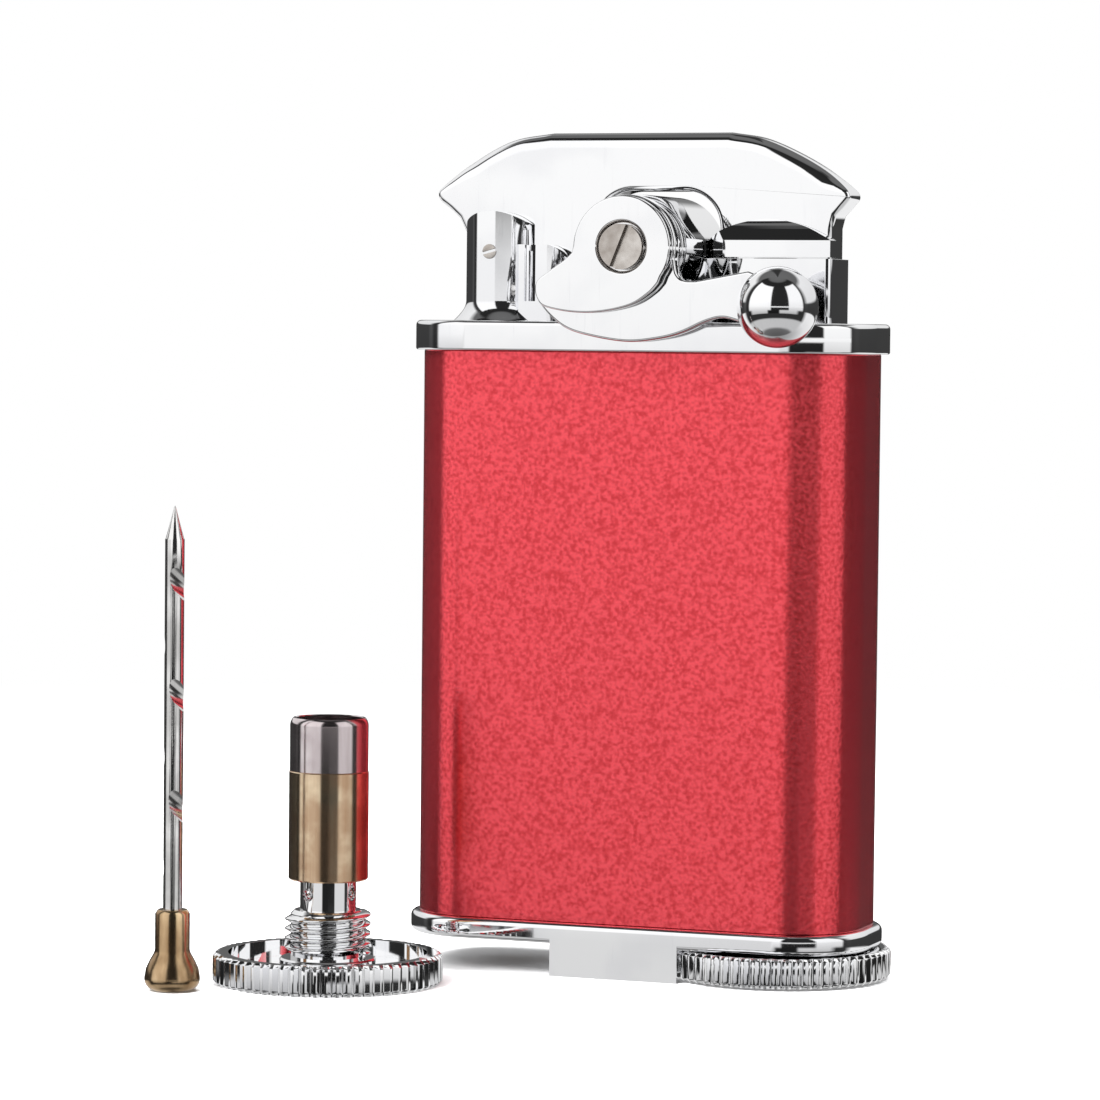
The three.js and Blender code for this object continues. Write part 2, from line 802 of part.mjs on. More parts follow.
// The needle: slanted bites on alternate sides, and a stepped point.
function pickNeedle() {
  const { x, y } = pickPlace;
  const bottom = pick.neckTop - 1.9;
  const cone = pickLength - 2.1;
  const bites = 6;
  const spacing = 4.35;
  const shaft = turned(
    [
      [0, bottom],
      [pick.radius, bottom],
      [pick.radius, cone - 0.6],
      [pick.radius - 0.2, cone],
      [0.05, pickLength],
      [0, pickLength],
    ],
    x,
    y,
    20,
  );
  const cuts = Array.from({ length: bites }, (_, index) => {
    const side = index % 2 ? -1 : 1;
    return crosswise(0.8, -3, 3, 0, 0, 20)
      .rotateZ(degrees(20))
      .rotateX(degrees(-30))
      .translate(x + side * (pick.radius + 0.3), y, cone - 4 - index * spacing);
  });
  return cut(shaft, ...cuts);
}

// ---------------------------------------------------------------- the model

const materials = {
  redSatin: { color: 0xb23a44, roughness: 0.38, metalness: 0.7 },
  chrome: { color: 0xdfe0e4, roughness: 0.06, metalness: 1 },
  nickel: { color: 0xcfc8c0, roughness: 0.28, metalness: 1 },
  brass: { color: 0xa8845a, roughness: 0.3, metalness: 1 },
  steel: { color: 0xb4b2b4, roughness: 0.3, metalness: 1 },
  ferro: { color: 0x5a5650, roughness: 0.7, metalness: 0.3 },
  rubber: { color: 0x2a2a2a, roughness: 0.8, metalness: 0 },
  cotton: { color: 0xeae6da, roughness: 0.95, metalness: 0 },
  felt: { color: 0xd8d4c8, roughness: 0.95, metalness: 0 },
};

const lighter = new THREE.Group();

function place(name, made, material) {
  const geometry = made instanceof wasm.Manifold ? geometryOf(made) : made;
  const mesh = new THREE.Mesh(geometry, new THREE.MeshStandardMaterial(materials[material]));
  mesh.name = name;
  lighter.add(mesh);
}

place("body_sleeve", bodySleeve(), "redSatin");
place("top_plate", topPlate(), "chrome");
place("base_plate", basePlate(), "chrome");
place("fuel_tank", fuelTank(), "steel");
place("felt_pad", feltPad(), "felt");
place("tank_wadding", tankWadding(), "cotton");
place("wick_tube", wickTube(), "brass");
place("wick", wick(), "cotton");
place("tool_tube", toolTube(), "brass");
place("flint_tube", flintTubeBody(), "brass");
place("flint", flintRod(), "ferro");
place("flint_spring", flintSpring(), "steel");
place("flint_screw", flintScrew(), "brass");
place("hinge_tower", hingeTower(), "chrome");
place("arm_pin", armPin(), "nickel");
place("wheel_housing", wheelHousing(), "chrome");
place("lever_spring", leverSpring(), "steel");
place("pivot_screw", pivotScrew(), "nickel");
place("burner_chimney", burnerChimney(), "chrome");
place("snuffer_arm", snufferArm(), "chrome");
place("snuffer_cap", snufferCap(), "chrome");
place("cap_seal", capSeal(), "felt");
place("thumb_lever", thumbLever(), "chrome");
place("lever_ball", leverBall(), "chrome");
place("cam_plate", camPlate(), "chrome");
place("lift_pin", liftPinBody(), "steel");
place("drive_disc", driveDiscBody(), "chrome");
place("flint_wheel", flintWheel(), "steel");
place("filler_screw", knurledPlug(socketX, 0, discLift), "chrome");
place("filler_gasket", gasket(socketX, 0, discLift), "rubber");
place("tool_base", toolBase(), "chrome");
place("tamper_barrel", tamperBarrel(), "brass");
place("tamper_ring", tamperRing(), "steel");
place("pick_needle", pickNeedle(), "steel");
place("pick_handle", pickHandle(), "brass");

export default lighter;
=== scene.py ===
from math import asin, cos, degrees, pi, radians, sin

import bmesh
import bpy
from mathutils import Matrix, Vector


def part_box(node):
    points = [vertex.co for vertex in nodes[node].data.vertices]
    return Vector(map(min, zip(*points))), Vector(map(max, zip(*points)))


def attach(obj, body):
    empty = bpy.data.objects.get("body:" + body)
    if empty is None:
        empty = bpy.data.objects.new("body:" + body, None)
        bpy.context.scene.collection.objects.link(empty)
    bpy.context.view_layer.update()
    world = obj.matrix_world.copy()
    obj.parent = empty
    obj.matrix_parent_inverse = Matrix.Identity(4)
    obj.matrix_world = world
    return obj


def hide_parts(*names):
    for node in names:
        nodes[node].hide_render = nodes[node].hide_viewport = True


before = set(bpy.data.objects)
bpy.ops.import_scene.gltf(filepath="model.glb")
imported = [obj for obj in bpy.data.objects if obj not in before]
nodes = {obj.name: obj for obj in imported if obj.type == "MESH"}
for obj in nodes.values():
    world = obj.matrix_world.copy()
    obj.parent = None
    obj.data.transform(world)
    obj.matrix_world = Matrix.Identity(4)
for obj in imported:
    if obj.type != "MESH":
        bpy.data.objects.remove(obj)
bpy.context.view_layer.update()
scene = bpy.context.scene
mm = 0.001
print("frame loaded:", len(nodes), "nodes")


# the camera, in metres, with a lens in millimetres
viewer = {
    "place": (0.120645, -0.348402, 0.051885),
    "forward": (-0.3473, 0.9365, -0.0482),
    "roll": 0.0104, "lens": 148.4,
}


def makeCamera(settings):
    forward = Vector(settings["forward"]).normalized()
    right = forward.cross((0, 0, 1)).normalized()
    up = right.cross(forward)
    roll = settings["roll"]
    x = right * cos(roll) + up * sin(roll)
    y = up * cos(roll) - right * sin(roll)
    data = bpy.data.cameras.new("camera")
    data.lens = settings["lens"]
    data.sensor_width = 36
    data.clip_start = 0.01
    data.clip_end = 20
    camera = bpy.data.objects.new("camera", data)
    camera.matrix_world = Matrix(
        (
            (x.x, y.x, -forward.x, settings["place"][0]), (x.y, y.y, -forward.y, settings["place"][1]),
            (x.z, y.z, -forward.z, settings["place"][2]), (0, 0, 0, 1),
        )
    )
    scene.collection.objects.link(camera)
    scene.camera = camera


makeCamera(viewer)
scene.view_settings.view_transform = "Standard"
scene.view_settings.look = "None"
print("camera placed")


# two tall windows with a dark gap between them, dark at the sides and behind
studio = {
    "front": (0.3473, -0.9365), "side": (0.9365, 0.3473),
    # degrees to the right of the camera, and how bright the room is there, from just below the horizon up
    "roundHigh": [
        (-180, 0.15), (-112, 0.15), (-99, 0.03), (-92, 0.03), (-88, 1.0), (-23, 1.0), (-20, 0.02),
        (28, 0.02), (31, 0.95), (72, 0.95), (76, 0.04), (110, 0.12), (180, 0.15),
    ],
    # and further down
    "roundLow": [
        (-180, 0.1), (-112, 0.1), (-86, 0.02), (-78, 1.0), (-33, 1.0), (-29, 0.02), (1, 0.02),
        (5, 1.0), (52, 1.0), (62, 0.04), (110, 0.1), (180, 0.1),
    ],
    # by height, as the sine of the elevation
    "isHigh": [(-1, 0), (-0.18, 0), (-0.13, 1), (1, 1)],
    "windows": [(-1, 0), (-0.32, 0), (-0.29, 1), (0.83, 1), (0.85, 0), (1, 0)],
    "fall": [(-1, 0.5), (-0.28, 0.5), (-0.02, 0.92), (0.02, 1.0), (0.3, 1.12), (1, 1.12)],
    "belowAndAbove": [
        (-1, 0.1), (-0.9, 0.15), (-0.84, 0.55), (-0.56, 0.55), (-0.5, 0.03), (-0.3, 0.03),
        (0.83, 0.02), (0.94, 0.02), (0.965, 0.13), (1, 0.15),
    ],
    "behind": [
        (-1, 0.3), (-0.6, 0.8), (-0.24, 0.9), (-0.2, 0.9), (-0.17, 0.04), (0.1, 0.05), (0.16, 0.8),
        (0.7, 0.9), (0.8, 0.13), (1, 0.15),
    ],
    "rear": [(-180, 0.25), (-172, 0.25), (-165, 1), (165, 1), (172, 0.25), (180, 0.25)],
    "horizon": [(-1, 0), (-0.035, 0), (-0.018, 1), (0.018, 1), (0.032, 0), (1, 0)],
    "slit": [(-89, 0), (-88, 1), (74, 1), (75, 0)],
    "isBehind": [(-112, 1), (-103, 0), (79, 0), (92, 1)],
    "strength": 1.0,
    # name, place, target, size and power
    "softboxes": [
        ("key", (-0.25, -0.45, 0.55), (0, 0, 0.03), (0.4, 0.4), 9),
        ("overhead", (0.05, 0.1, 0.7), (0, 0, 0), (0.6, 0.6), 9),
    ],
    "floor": {"paper": (0.93, 0.93, 0.935, 1), "fade": [(0.07, 0), (0.3, 1)], "radius": 3},
}


# adds shader nodes to a tree and links them
class Web:
    def __init__(self, tree):
        self.tree = tree

    def add(self, kind, **settings):
        node = self.tree.nodes.new(kind)
        inputs = settings.pop("inputs", {})
        for key, value in settings.items():
            setattr(node, key, value)
        for key, value in inputs.items():
            self.feed(node.inputs[key], value)
        return node

    def feed(self, socket, value):
        if isinstance(value, bpy.types.NodeSocket):
            self.tree.links.new(value, socket)
        else:
            socket.default_value = value

    def sum(self, operation, first, second=0.0, third=None):
        node = self.add("ShaderNodeMath", operation=operation)
        self.feed(node.inputs[0], first)
        self.feed(node.inputs[1], second)
        if third is not None:
            self.feed(node.inputs[2], third)
        return node.outputs[0]

    def ramp(self, value, stops, interpolation="LINEAR"):
        node = self.add("ShaderNodeValToRGB")
        node.color_ramp.interpolation = interpolation
        points = node.color_ramp.elements
        while len(points) < len(stops):
            points.new(0.5)
        for point, (place, shade) in zip(points, stops):
            point.position = place
        for point, (place, shade) in zip(points, stops):
            colour = (shade,) * 3 if isinstance(shade, (int, float)) else shade
            point.color = (*colour[:3], 1)
        self.feed(node.inputs[0], value)
        return node.outputs[0]

    def mix(self, factor, first, second, blend="MIX"):
        node = self.add("ShaderNodeMix", data_type="RGBA", blend_type=blend)
        self.feed(node.inputs[0], factor)
        self.feed(node.inputs[6], first)
        self.feed(node.inputs[7], second)
        return node.outputs[2]


def makeWorld(settings):
    world = bpy.data.worlds.new("studio")
    world.use_nodes = True
    scene.world = world
    web = Web(world.node_tree)
    world.node_tree.nodes.clear()
    direction = web.add("ShaderNodeTexCoord").outputs["Generated"]

    def along(x, y):
        dot = web.add("ShaderNodeVectorMath", operation="DOT_PRODUCT")
        web.feed(dot.inputs[0], direction)
        dot.inputs[1].default_value = (x, y, 0)
        return dot.outputs["Value"]

    turn = web.sum("ARCTAN2", along(*settings["side"]), along(*settings["front"]))
    turn = web.sum("MULTIPLY_ADD", turn, 0.5 / pi, 0.5)
    height = web.add("ShaderNodeSeparateXYZ", inputs={"Vector": direction}).outputs["Z"]
    height = web.sum("MULTIPLY_ADD", height, 0.5, 0.5)

    def byHeight(key):
        stops = [(0.5 + 0.5 * place, shade) for place, shade in settings[key]]
        return web.ramp(height, stops)

    def byTurn(stops):
        return web.ramp(turn, [(0.5 + angle / 360, shade) for angle, shade in stops])

    around = web.mix(byHeight("isHigh"), byTurn(settings["roundLow"]), byTurn(settings["roundHigh"]))
    slit = web.mix(1.0, byTurn(settings["slit"]), byHeight("horizon"), "MULTIPLY")
    front = web.mix(1.0, around, slit, "LIGHTEN")
    front = web.mix(1.0, front, byHeight("fall"), "MULTIPLY")
    front = web.mix(byHeight("windows"), byHeight("belowAndAbove"), front)
    back = web.mix(1.0, byHeight("behind"), byTurn(settings["rear"]), "MULTIPLY")
    room = web.mix(byTurn(settings["isBehind"]), front, back)
    seen = web.add("ShaderNodeLightPath").outputs["Is Camera Ray"]
    colour = web.mix(seen, room, (1, 1, 1, 1))
    shader = web.add("ShaderNodeBackground", inputs={"Color": colour, "Strength": settings["strength"]})
    output = web.add("ShaderNodeOutputWorld")
    web.feed(output.inputs["Surface"], shader.outputs[0])


def addSoftbox(name, place, target, size, power):
    data = bpy.data.lights.new(name, "AREA")
    data.shape = "RECTANGLE"
    data.size, data.size_y = size
    data.energy = power
    light = bpy.data.objects.new(name, data)
    aim = Vector(target) - Vector(place)
    light.matrix_world = Matrix.Translation(place) @ aim.to_track_quat("-Z", "Y").to_matrix().to_4x4()
    scene.collection.objects.link(light)
    light.visible_glossy = False


def makeFloor(settings):
    bm = bmesh.new()
    bmesh.ops.create_circle(bm, cap_ends=True, segments=96, radius=settings["radius"])
    mesh = bpy.data.meshes.new("floor")
    bm.to_mesh(mesh)
    bm.free()
    floor = bpy.data.objects.new("floor", mesh)
    scene.collection.objects.link(floor)
    material = bpy.data.materials.new("paleFloor")
    material.use_nodes = True
    web = Web(material.node_tree)
    material.node_tree.nodes.clear()
    paper = web.add("ShaderNodeBsdfDiffuse", inputs={"Color": settings["paper"]})
    glow = web.add("ShaderNodeEmission", inputs={"Color": (1, 1, 1, 1), "Strength": 1.0})
    where = web.add("ShaderNodeTexCoord").outputs["Object"]
    far = web.add("ShaderNodeVectorMath", operation="LENGTH", inputs={0: where}).outputs["Value"]
    fade = web.ramp(far, settings["fade"], "EASE")
    blend = web.add("ShaderNodeMixShader", inputs={0: fade})
    web.feed(blend.inputs[1], paper.outputs[0])
    web.feed(blend.inputs[2], glow.outputs[0])
    output = web.add("ShaderNodeOutputMaterial")
    web.feed(output.inputs["Surface"], blend.outputs[0])
    mesh.materials.append(material)
    floor.visible_glossy = False


makeWorld(studio)
makeFloor(studio["floor"])
for softbox in studio["softboxes"]:
    addSoftbox(*softbox)
print("studio ready")


# an effect shared by finishes: a shader node group that gives a shade and a height
def makeGroup(name, inputs, outputs, build):
    tree = bpy.data.node_groups.new(name, "ShaderNodeTree")
    for label, value in inputs:
        socket = tree.interface.new_socket(label, in_out="INPUT", socket_type="NodeSocketFloat")
        socket.default_value = value
    for label in outputs:
        tree.interface.new_socket(label, in_out="OUTPUT", socket_type="NodeSocketFloat")
    web = Web(tree)
    given = web.add("NodeGroupInput").outputs
    where = web.add("ShaderNodeTexCoord").outputs["Object"]
    made = build(web, given, where)
    result = web.add("NodeGroupOutput")
    for label in outputs:
        web.feed(result.inputs[label], made[label])
    return tree


def noise(web, where, scale, detail=2.0, stretch=None):
    if stretch:
        mapping = web.add("ShaderNodeMapping", inputs={"Vector": where, "Scale": stretch})
        where = mapping.outputs[0]
    node = web.add("ShaderNodeTexNoise", inputs={"Vector": where, "Detail": detail})
    web.feed(node.inputs["Scale"], scale)
    return node.outputs[0]


# fingerprints, dull patches and fine wiping scratches on plated metal
def buildHandling(web, given, where):
    patches = noise(web, where, given["Patch scale"], 3)
    patches = web.ramp(patches, [(0.42, 0), (0.68, 1)], "EASE")
    scratches = noise(web, where, given["Scratch scale"], 2, (1, 1, 0.06))
    scratches = web.ramp(scratches, [(0.62, 0), (0.72, 1)])
    shade = web.sum("MULTIPLY_ADD", scratches, 0.25, web.sum("MULTIPLY", patches, 0.75))
    ripple = noise(web, where, web.sum("MULTIPLY", given["Patch scale"], 0.5), 1)
    height = web.sum("MULTIPLY_ADD", scratches, -0.15, ripple)
    return {"Shade": shade, "Height": height}


# the small round pebbles of a satin metallic coat
def buildPebble(web, given, where):
    cells = web.add("ShaderNodeTexVoronoi", feature="SMOOTH_F1", inputs={"Vector": where})
    web.feed(cells.inputs["Scale"], given["Grain scale"])
    grain = noise(web, where, given["Grain scale"], 1)
    broad = noise(web, where, web.sum("MULTIPLY", given["Grain scale"], 0.012), 2)
    height = web.sum("MULTIPLY_ADD", cells.outputs["Distance"], -0.6, grain)
    speck = web.ramp(grain, [(0.3, 0), (0.7, 1)])
    shade = web.sum("MULTIPLY_ADD", speck, 0.8, web.sum("MULTIPLY", broad, 0.2))
    return {"Shade": shade, "Height": height}


# lines drawn up or round a turned bar, with tarnish gathered in them
def buildDrawn(web, given, where):
    up = web.add("ShaderNodeCombineXYZ", inputs={"X": 1.0, "Y": 1.0, "Z": given["Stretch"]})
    mapping = web.add("ShaderNodeMapping", inputs={"Vector": where, "Scale": up.outputs[0]})
    lines = noise(web, mapping.outputs[0], given["Line scale"], 3)
    stains = noise(web, where, web.sum("MULTIPLY", given["Line scale"], 0.15), 3)
    stains = web.ramp(stains, [(0.4, 0), (0.7, 1)], "EASE")
    shade = web.sum("MULTIPLY_ADD", lines, 0.55, web.sum("MULTIPLY", stains, 0.5))
    return {"Shade": shade, "Height": lines}


# short loose fibres
def buildFibre(web, given, where):
    threads = noise(web, where, given["Fibre scale"], 4, (1, 1, 0.35))
    fluff = noise(web, where, web.sum("MULTIPLY", given["Fibre scale"], 3.1), 2)
    shade = web.sum("MULTIPLY_ADD", threads, 0.7, web.sum("MULTIPLY", fluff, 0.3))
    return {"Shade": shade, "Height": shade}


both = ["Shade", "Height"]
handling = makeGroup("handling", [("Patch scale", 90.0), ("Scratch scale", 2500.0)], both, buildHandling)
pebble = makeGroup("pebble", [("Grain scale", 3000.0)], both, buildPebble)
drawn = makeGroup("drawn", [("Line scale", 2500.0), ("Stretch", 0.04)], both, buildDrawn)
fibre = makeGroup("fibre", [("Fibre scale", 2500.0)], both, buildFibre)


# every finish: its effect, two colours, a dull and a fine roughness, and its bump
finishes = {
    "redSatin": {
        "group": pebble, "inputs": {"Grain scale": 3200.0},
        "colours": ((0.64, 0.04, 0.054), (0.86, 0.082, 0.104)),
        "metallic": 0.9,
        "roughness": (0.25, 0.17), "bump": (0.2, 0.00003),
        "coat": 0.3, "coatRoughness": 0.24,
    },
    "chrome": {
        "group": handling, "inputs": {"Patch scale": 110.0, "Scratch scale": 2600.0},
        "colours": ((0.95, 0.952, 0.96), (0.89, 0.893, 0.91)),
        "roughness": (0.03, 0.085), "bump": (0.03, 0.0001),
    },
    "nickel": {
        "group": drawn, "inputs": {"Line scale": 1500.0, "Stretch": 1.0},
        "colours": ((0.45, 0.4, 0.36), (0.8, 0.76, 0.72)),
        "roughness": (0.34, 0.16), "bump": (0.12, 0.00003),
    },
    "brass": {
        "group": drawn, "inputs": {"Line scale": 1900.0, "Stretch": 0.03},
        "colours": ((0.52, 0.31, 0.18), (0.95, 0.76, 0.53)),
        "roughness": (0.2, 0.1), "bump": (0.1, 0.00003),
    },
    "agedBrass": {
        "group": drawn, "inputs": {"Line scale": 900.0, "Stretch": 0.3},
        "colours": ((0.24, 0.13, 0.055), (0.93, 0.7, 0.43)),
        "roughness": (0.27, 0.1), "bump": (0.2, 0.00005),
    },
    "steel": {
        "group": drawn, "inputs": {"Line scale": 1700.0, "Stretch": 0.05},
        "colours": ((0.6, 0.59, 0.58), (0.93, 0.92, 0.91)),
        "roughness": (0.2, 0.08), "bump": (0.1, 0.00003),
    },
    "heatedSteel": {
        "group": drawn, "inputs": {"Line scale": 1300.0, "Stretch": 0.08},
        "colours": ((0.55, 0.47, 0.48), (0.9, 0.82, 0.83)),
        "roughness": (0.18, 0.08), "bump": (0.1, 0.00003),
    },
    "tin": {
        "group": handling, "inputs": {"Patch scale": 260.0, "Scratch scale": 1800.0},
        "colours": ((0.55, 0.55, 0.56), (0.34, 0.34, 0.36)),
        "roughness": (0.28, 0.5), "bump": (0.1, 0.0001),
    },
    "ferro": {
        "group": fibre, "inputs": {"Fibre scale": 1800.0},
        "colours": ((0.16, 0.14, 0.12), (0.05, 0.045, 0.04)),
        "metallic": 0.6,
        "roughness": (0.5, 0.8), "bump": (0.3, 0.00008),
    },
    "rubber": {
        "group": fibre, "inputs": {"Fibre scale": 1200.0},
        "colours": ((0.03, 0.03, 0.03), (0.012, 0.012, 0.012)),
        "metallic": 0.0,
        "roughness": (0.6, 0.85), "bump": (0.2, 0.00005),
    },
    "cotton": {
        "group": fibre, "inputs": {"Fibre scale": 2600.0},
        "colours": ((0.86, 0.82, 0.74), (0.62, 0.56, 0.47)),
        "metallic": 0.0,
        "roughness": (0.85, 1.0), "bump": (0.7, 0.00015),
    },
    "felt": {
        "group": fibre, "inputs": {"Fibre scale": 1900.0},
        "colours": ((0.7, 0.66, 0.58), (0.46, 0.42, 0.36)),
        "metallic": 0.0,
        "roughness": (0.88, 1.0), "bump": (0.7, 0.00018),
    },
}


def makeFinish(name, settings):
    material = bpy.data.materials.new(name)
    material.use_nodes = True
    web = Web(material.node_tree)
    material.node_tree.nodes.clear()
    effect = web.add("ShaderNodeGroup", node_tree=settings["group"], inputs=settings["inputs"])
    shade = effect.outputs["Shade"]
    first, second = settings["colours"]
    dull, fine = settings["roughness"]
    colour = web.ramp(shade, [(0.12, first), (0.72, second)])
    rough = web.add("ShaderNodeMapRange", inputs={"Value": shade, "To Min": dull, "To Max": fine})
    strength, distance = settings["bump"]
    bump = web.add("ShaderNodeBump", inputs={"Strength": strength, "Distance": distance})
    web.feed(bump.inputs["Height"], effect.outputs["Height"])
    shader = web.add("ShaderNodeBsdfPrincipled", inputs={"Metallic": settings.get("metallic", 1.0)})
    web.feed(shader.inputs["Base Color"], colour)
    web.feed(shader.inputs["Roughness"], rough.outputs[0])
    web.feed(shader.inputs["Normal"], bump.outputs[0])
    if "coat" in settings:
        shader.inputs["Coat Weight"].default_value = settings["coat"]
        shader.inputs["Coat Roughness"].default_value = settings["coatRoughness"]
    output = web.add("ShaderNodeOutputMaterial")
    web.feed(output.inputs["Surface"], shader.outputs[0])
    return material


looks = {name: makeFinish(name, settings) for name, settings in finishes.items()}
print("finishes made:", len(looks))


# everything is built in millimetres and scaled to metres by finished()
# a node's box in millimetres
def corners(node):
    low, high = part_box(node)
    return low / mm, high / mm


def middle(node):
    low, high = corners(node)
    return (low + high) / 2


def arc(x, z, radius, start, end, steps=24):
    turns = [radians(start + (end - start) * step / steps) for step in range(steps + 1)]
    return [(x + radius * cos(turn), z + radius * sin(turn)) for turn in turns]


# a smooth line through a few points
def flowing(points, steps=10):
    points = [Vector(point) for point in points]
    ends = [points[0] * 2 - points[1], *points, points[-1] * 2 - points[-2]]
    line = []
    for a, b, c, d in zip(ends, ends[1:], ends[2:], ends[3:]):
        for step in range(steps):
            t = step / steps
            line.append(
                0.5 * (2 * b + (c - a) * t + (2 * a - 5 * b + 4 * c - d) * t * t
                       + (3 * b - a - 3 * c + d) * t * t * t)
            )
    return [tuple(point) for point in line] + [tuple(points[-1])]


def roundedBox(left, right, front, back, radius, steps=24):
    return [
        *arc(right - radius, back - radius, radius, 0, 90, steps),
        *arc(left + radius, back - radius, radius, 90, 180, steps),
        *arc(left + radius, front + radius, radius, 180, 270, steps),
        *arc(right - radius, front + radius, radius, 270, 360, steps),
    ]


# the mesh becomes a loose object in millimetres that can still be carved
def shapeOf(bm):
    bmesh.ops.remove_doubles(bm, verts=bm.verts, dist=0.0004)
    bmesh.ops.dissolve_degenerate(bm, edges=bm.edges, dist=0.0002)
    bmesh.ops.recalc_face_normals(bm, faces=bm.faces)
    mesh = bpy.data.meshes.new("shape")
    bm.to_mesh(mesh)
    bm.free()
    shape = bpy.data.objects.new("shape", mesh)
    scene.collection.objects.link(shape)
    return shape


def raised(bm, points, away):
    face = bm.faces.new([bm.verts.new(point) for point in points])
    grown = bmesh.ops.extrude_face_region(bm, geom=[face])["geom"]
    bmesh.ops.translate(bm, vec=away, verts=[v for v in grown if isinstance(v, bmesh.types.BMVert)])
    return bm


# an outline in X and Z, from a front plane to a back plane
def facing(points, front, back):
    return shapeOf(raised(bmesh.new(), [(x, front, z) for x, z in points], (0, back - front, 0)))


# an outline in Y and Z, from one side to the other
def sideways(points, left, right):
    return shapeOf(raised(bmesh.new(), [(left, y, z) for y, z in points], (right - left, 0, 0)))


# a plate whose rims are rounded by a radius that changes along the outline
def softPlate(points, front, back, radiusAt, steps=8):
    points = [Vector(point) for point in points]
    around = zip(points[-1:] + points[:-1], points, points[1:] + points[:1])
    area = sum(a.x * b.y - b.x * a.y for a, b in zip(points, points[1:] + points[:1]))
    inward = []
    for before, point, after in around:
        first, second = (point - before).normalized(), (after - point).normalized()
        along = (first + second).normalized()
        side = Vector((-along.y, along.x)) * (1 if area > 0 else -1)
        inward.append(side / max(0.6, along.dot(first)))
    rings = []
    turns = [radians(90 * step / steps) for step in range(steps, -1, -1)]
    for face, direction, order in ((front, 1, turns), (back, -1, turns[::-1])):
        for turn in order:
            ring = []
            for point, side in zip(points, inward):
                radius = radiusAt(point.x, point.y)
                moved = point + side * radius * (1 - cos(turn))
                ring.append((moved.x, face + direction * radius * (1 - sin(turn)), moved.y))
            rings.append(ring)
    return lofted(rings)


# an outline in X and Y, standing from one level to another
def standing(points, low, high):
    return shapeOf(raised(bmesh.new(), [(x, y, low) for x, y in points], (0, 0, high - low)))


# a cylinder from low to high along one axis, at its place on the other two
def drum(radius, low, high, x, other, along="Z", sides=64):
    bm = bmesh.new()
    bmesh.ops.create_cone(
        bm, cap_ends=True, segments=sides, radius1=radius, radius2=radius, depth=high - low
    )
    centre = (low + high) / 2
    places = {"X": (centre, x, other), "Y": (x, centre, other), "Z": (x, other, centre)}
    if along != "Z":
        turn = Matrix.Rotation(radians(90), 3, "X" if along == "Y" else "Y")
        bmesh.ops.rotate(bm, cent=(0, 0, 0), matrix=turn, verts=bm.verts)
    bmesh.ops.translate(bm, vec=places[along], verts=bm.verts)
    return shapeOf(bm)


def block(x, y, z, turn=None, about=(0, 0, 0)):
    bm = bmesh.new()
    bmesh.ops.create_cube(bm, size=1)
    size = (x[1] - x[0], y[1] - y[0], z[1] - z[0])
    bmesh.ops.scale(bm, vec=size, verts=bm.verts)
    bmesh.ops.translate(bm, vec=((x[0] + x[1]) / 2, (y[0] + y[1]) / 2, (z[0] + z[1]) / 2), verts=bm.verts)
    if turn:
        bmesh.ops.rotate(bm, cent=(0, 0, 0), matrix=turn, verts=bm.verts)
    bmesh.ops.translate(bm, vec=about, verts=bm.verts)
    return shapeOf(bm)


# the hole round the axle at the hub, through a piece that spans low to high
def axleHole(low, high, sides=40):
    return drum(fit["axle"], low.y - 1, high.y + 1, hub.x, hub.z, "Y", sides)


# a profile of radius and height, turned about an upright line
def turned(profile, x, y, steps=72):
    bm = bmesh.new()
    verts = [bm.verts.new((radius, 0, height)) for radius, height in profile]
    edges = [bm.edges.new(pair) for pair in zip(verts, verts[1:])]
    bmesh.ops.spin(
        bm, geom=verts + edges, cent=(0, 0, 0), axis=(0, 0, 1), dvec=(0, 0, 0),
        angle=2 * pi, steps=steps, use_merge=True, use_duplicate=False,
    )
    bmesh.ops.translate(bm, vec=(x, y, 0), verts=bm.verts)
    return shapeOf(bm)


# rings of points joined one above the other, closed at both ends
def lofted(rings):
    bm = bmesh.new()
    loops = []
    for ring in rings:
        verts = [bm.verts.new(point) for point in ring]
        loops.append([bm.edges.new(pair) for pair in zip(verts, verts[1:] + verts[:1])])
    for lower, upper in zip(loops, loops[1:]):
        bmesh.ops.bridge_loops(bm, edges=lower + upper)
    bmesh.ops.edgenet_fill(bm, edges=loops[0])
    bmesh.ops.edgenet_fill(bm, edges=loops[-1])
    return shapeOf(bm)


def carve(shape, *cutters, how="DIFFERENCE"):
    for cutter in cutters:
        change = shape.modifiers.new("carve", "BOOLEAN")
        change.operation = how
        change.object = cutter
        change.solver = "EXACT"
    depsgraph = bpy.context.evaluated_depsgraph_get()
    made = bpy.data.meshes.new_from_object(shape.evaluated_get(depsgraph))
    shape.modifiers.clear()
    shape.data = made
    for cutter in cutters:
        bpy.data.objects.remove(cutter)
    return shape


def united(shape, *others):
    return carve(shape, *others, how="UNION")


# several shapes as one piece, each keeping its own closed skin
def gathered(shape, *others):
    bm = bmesh.new()
    for part in (shape, *others):
        bm.from_mesh(part.data)
    bm.to_mesh(shape.data)
    bm.free()
    for part in others:
        bpy.data.objects.remove(part)
    return shape


def joinFlats(bm):
    bmesh.ops.dissolve_limit(
        bm, angle_limit=radians(0.4), verts=bm.verts, edges=bm.edges, use_dissolve_boundaries=False
    )


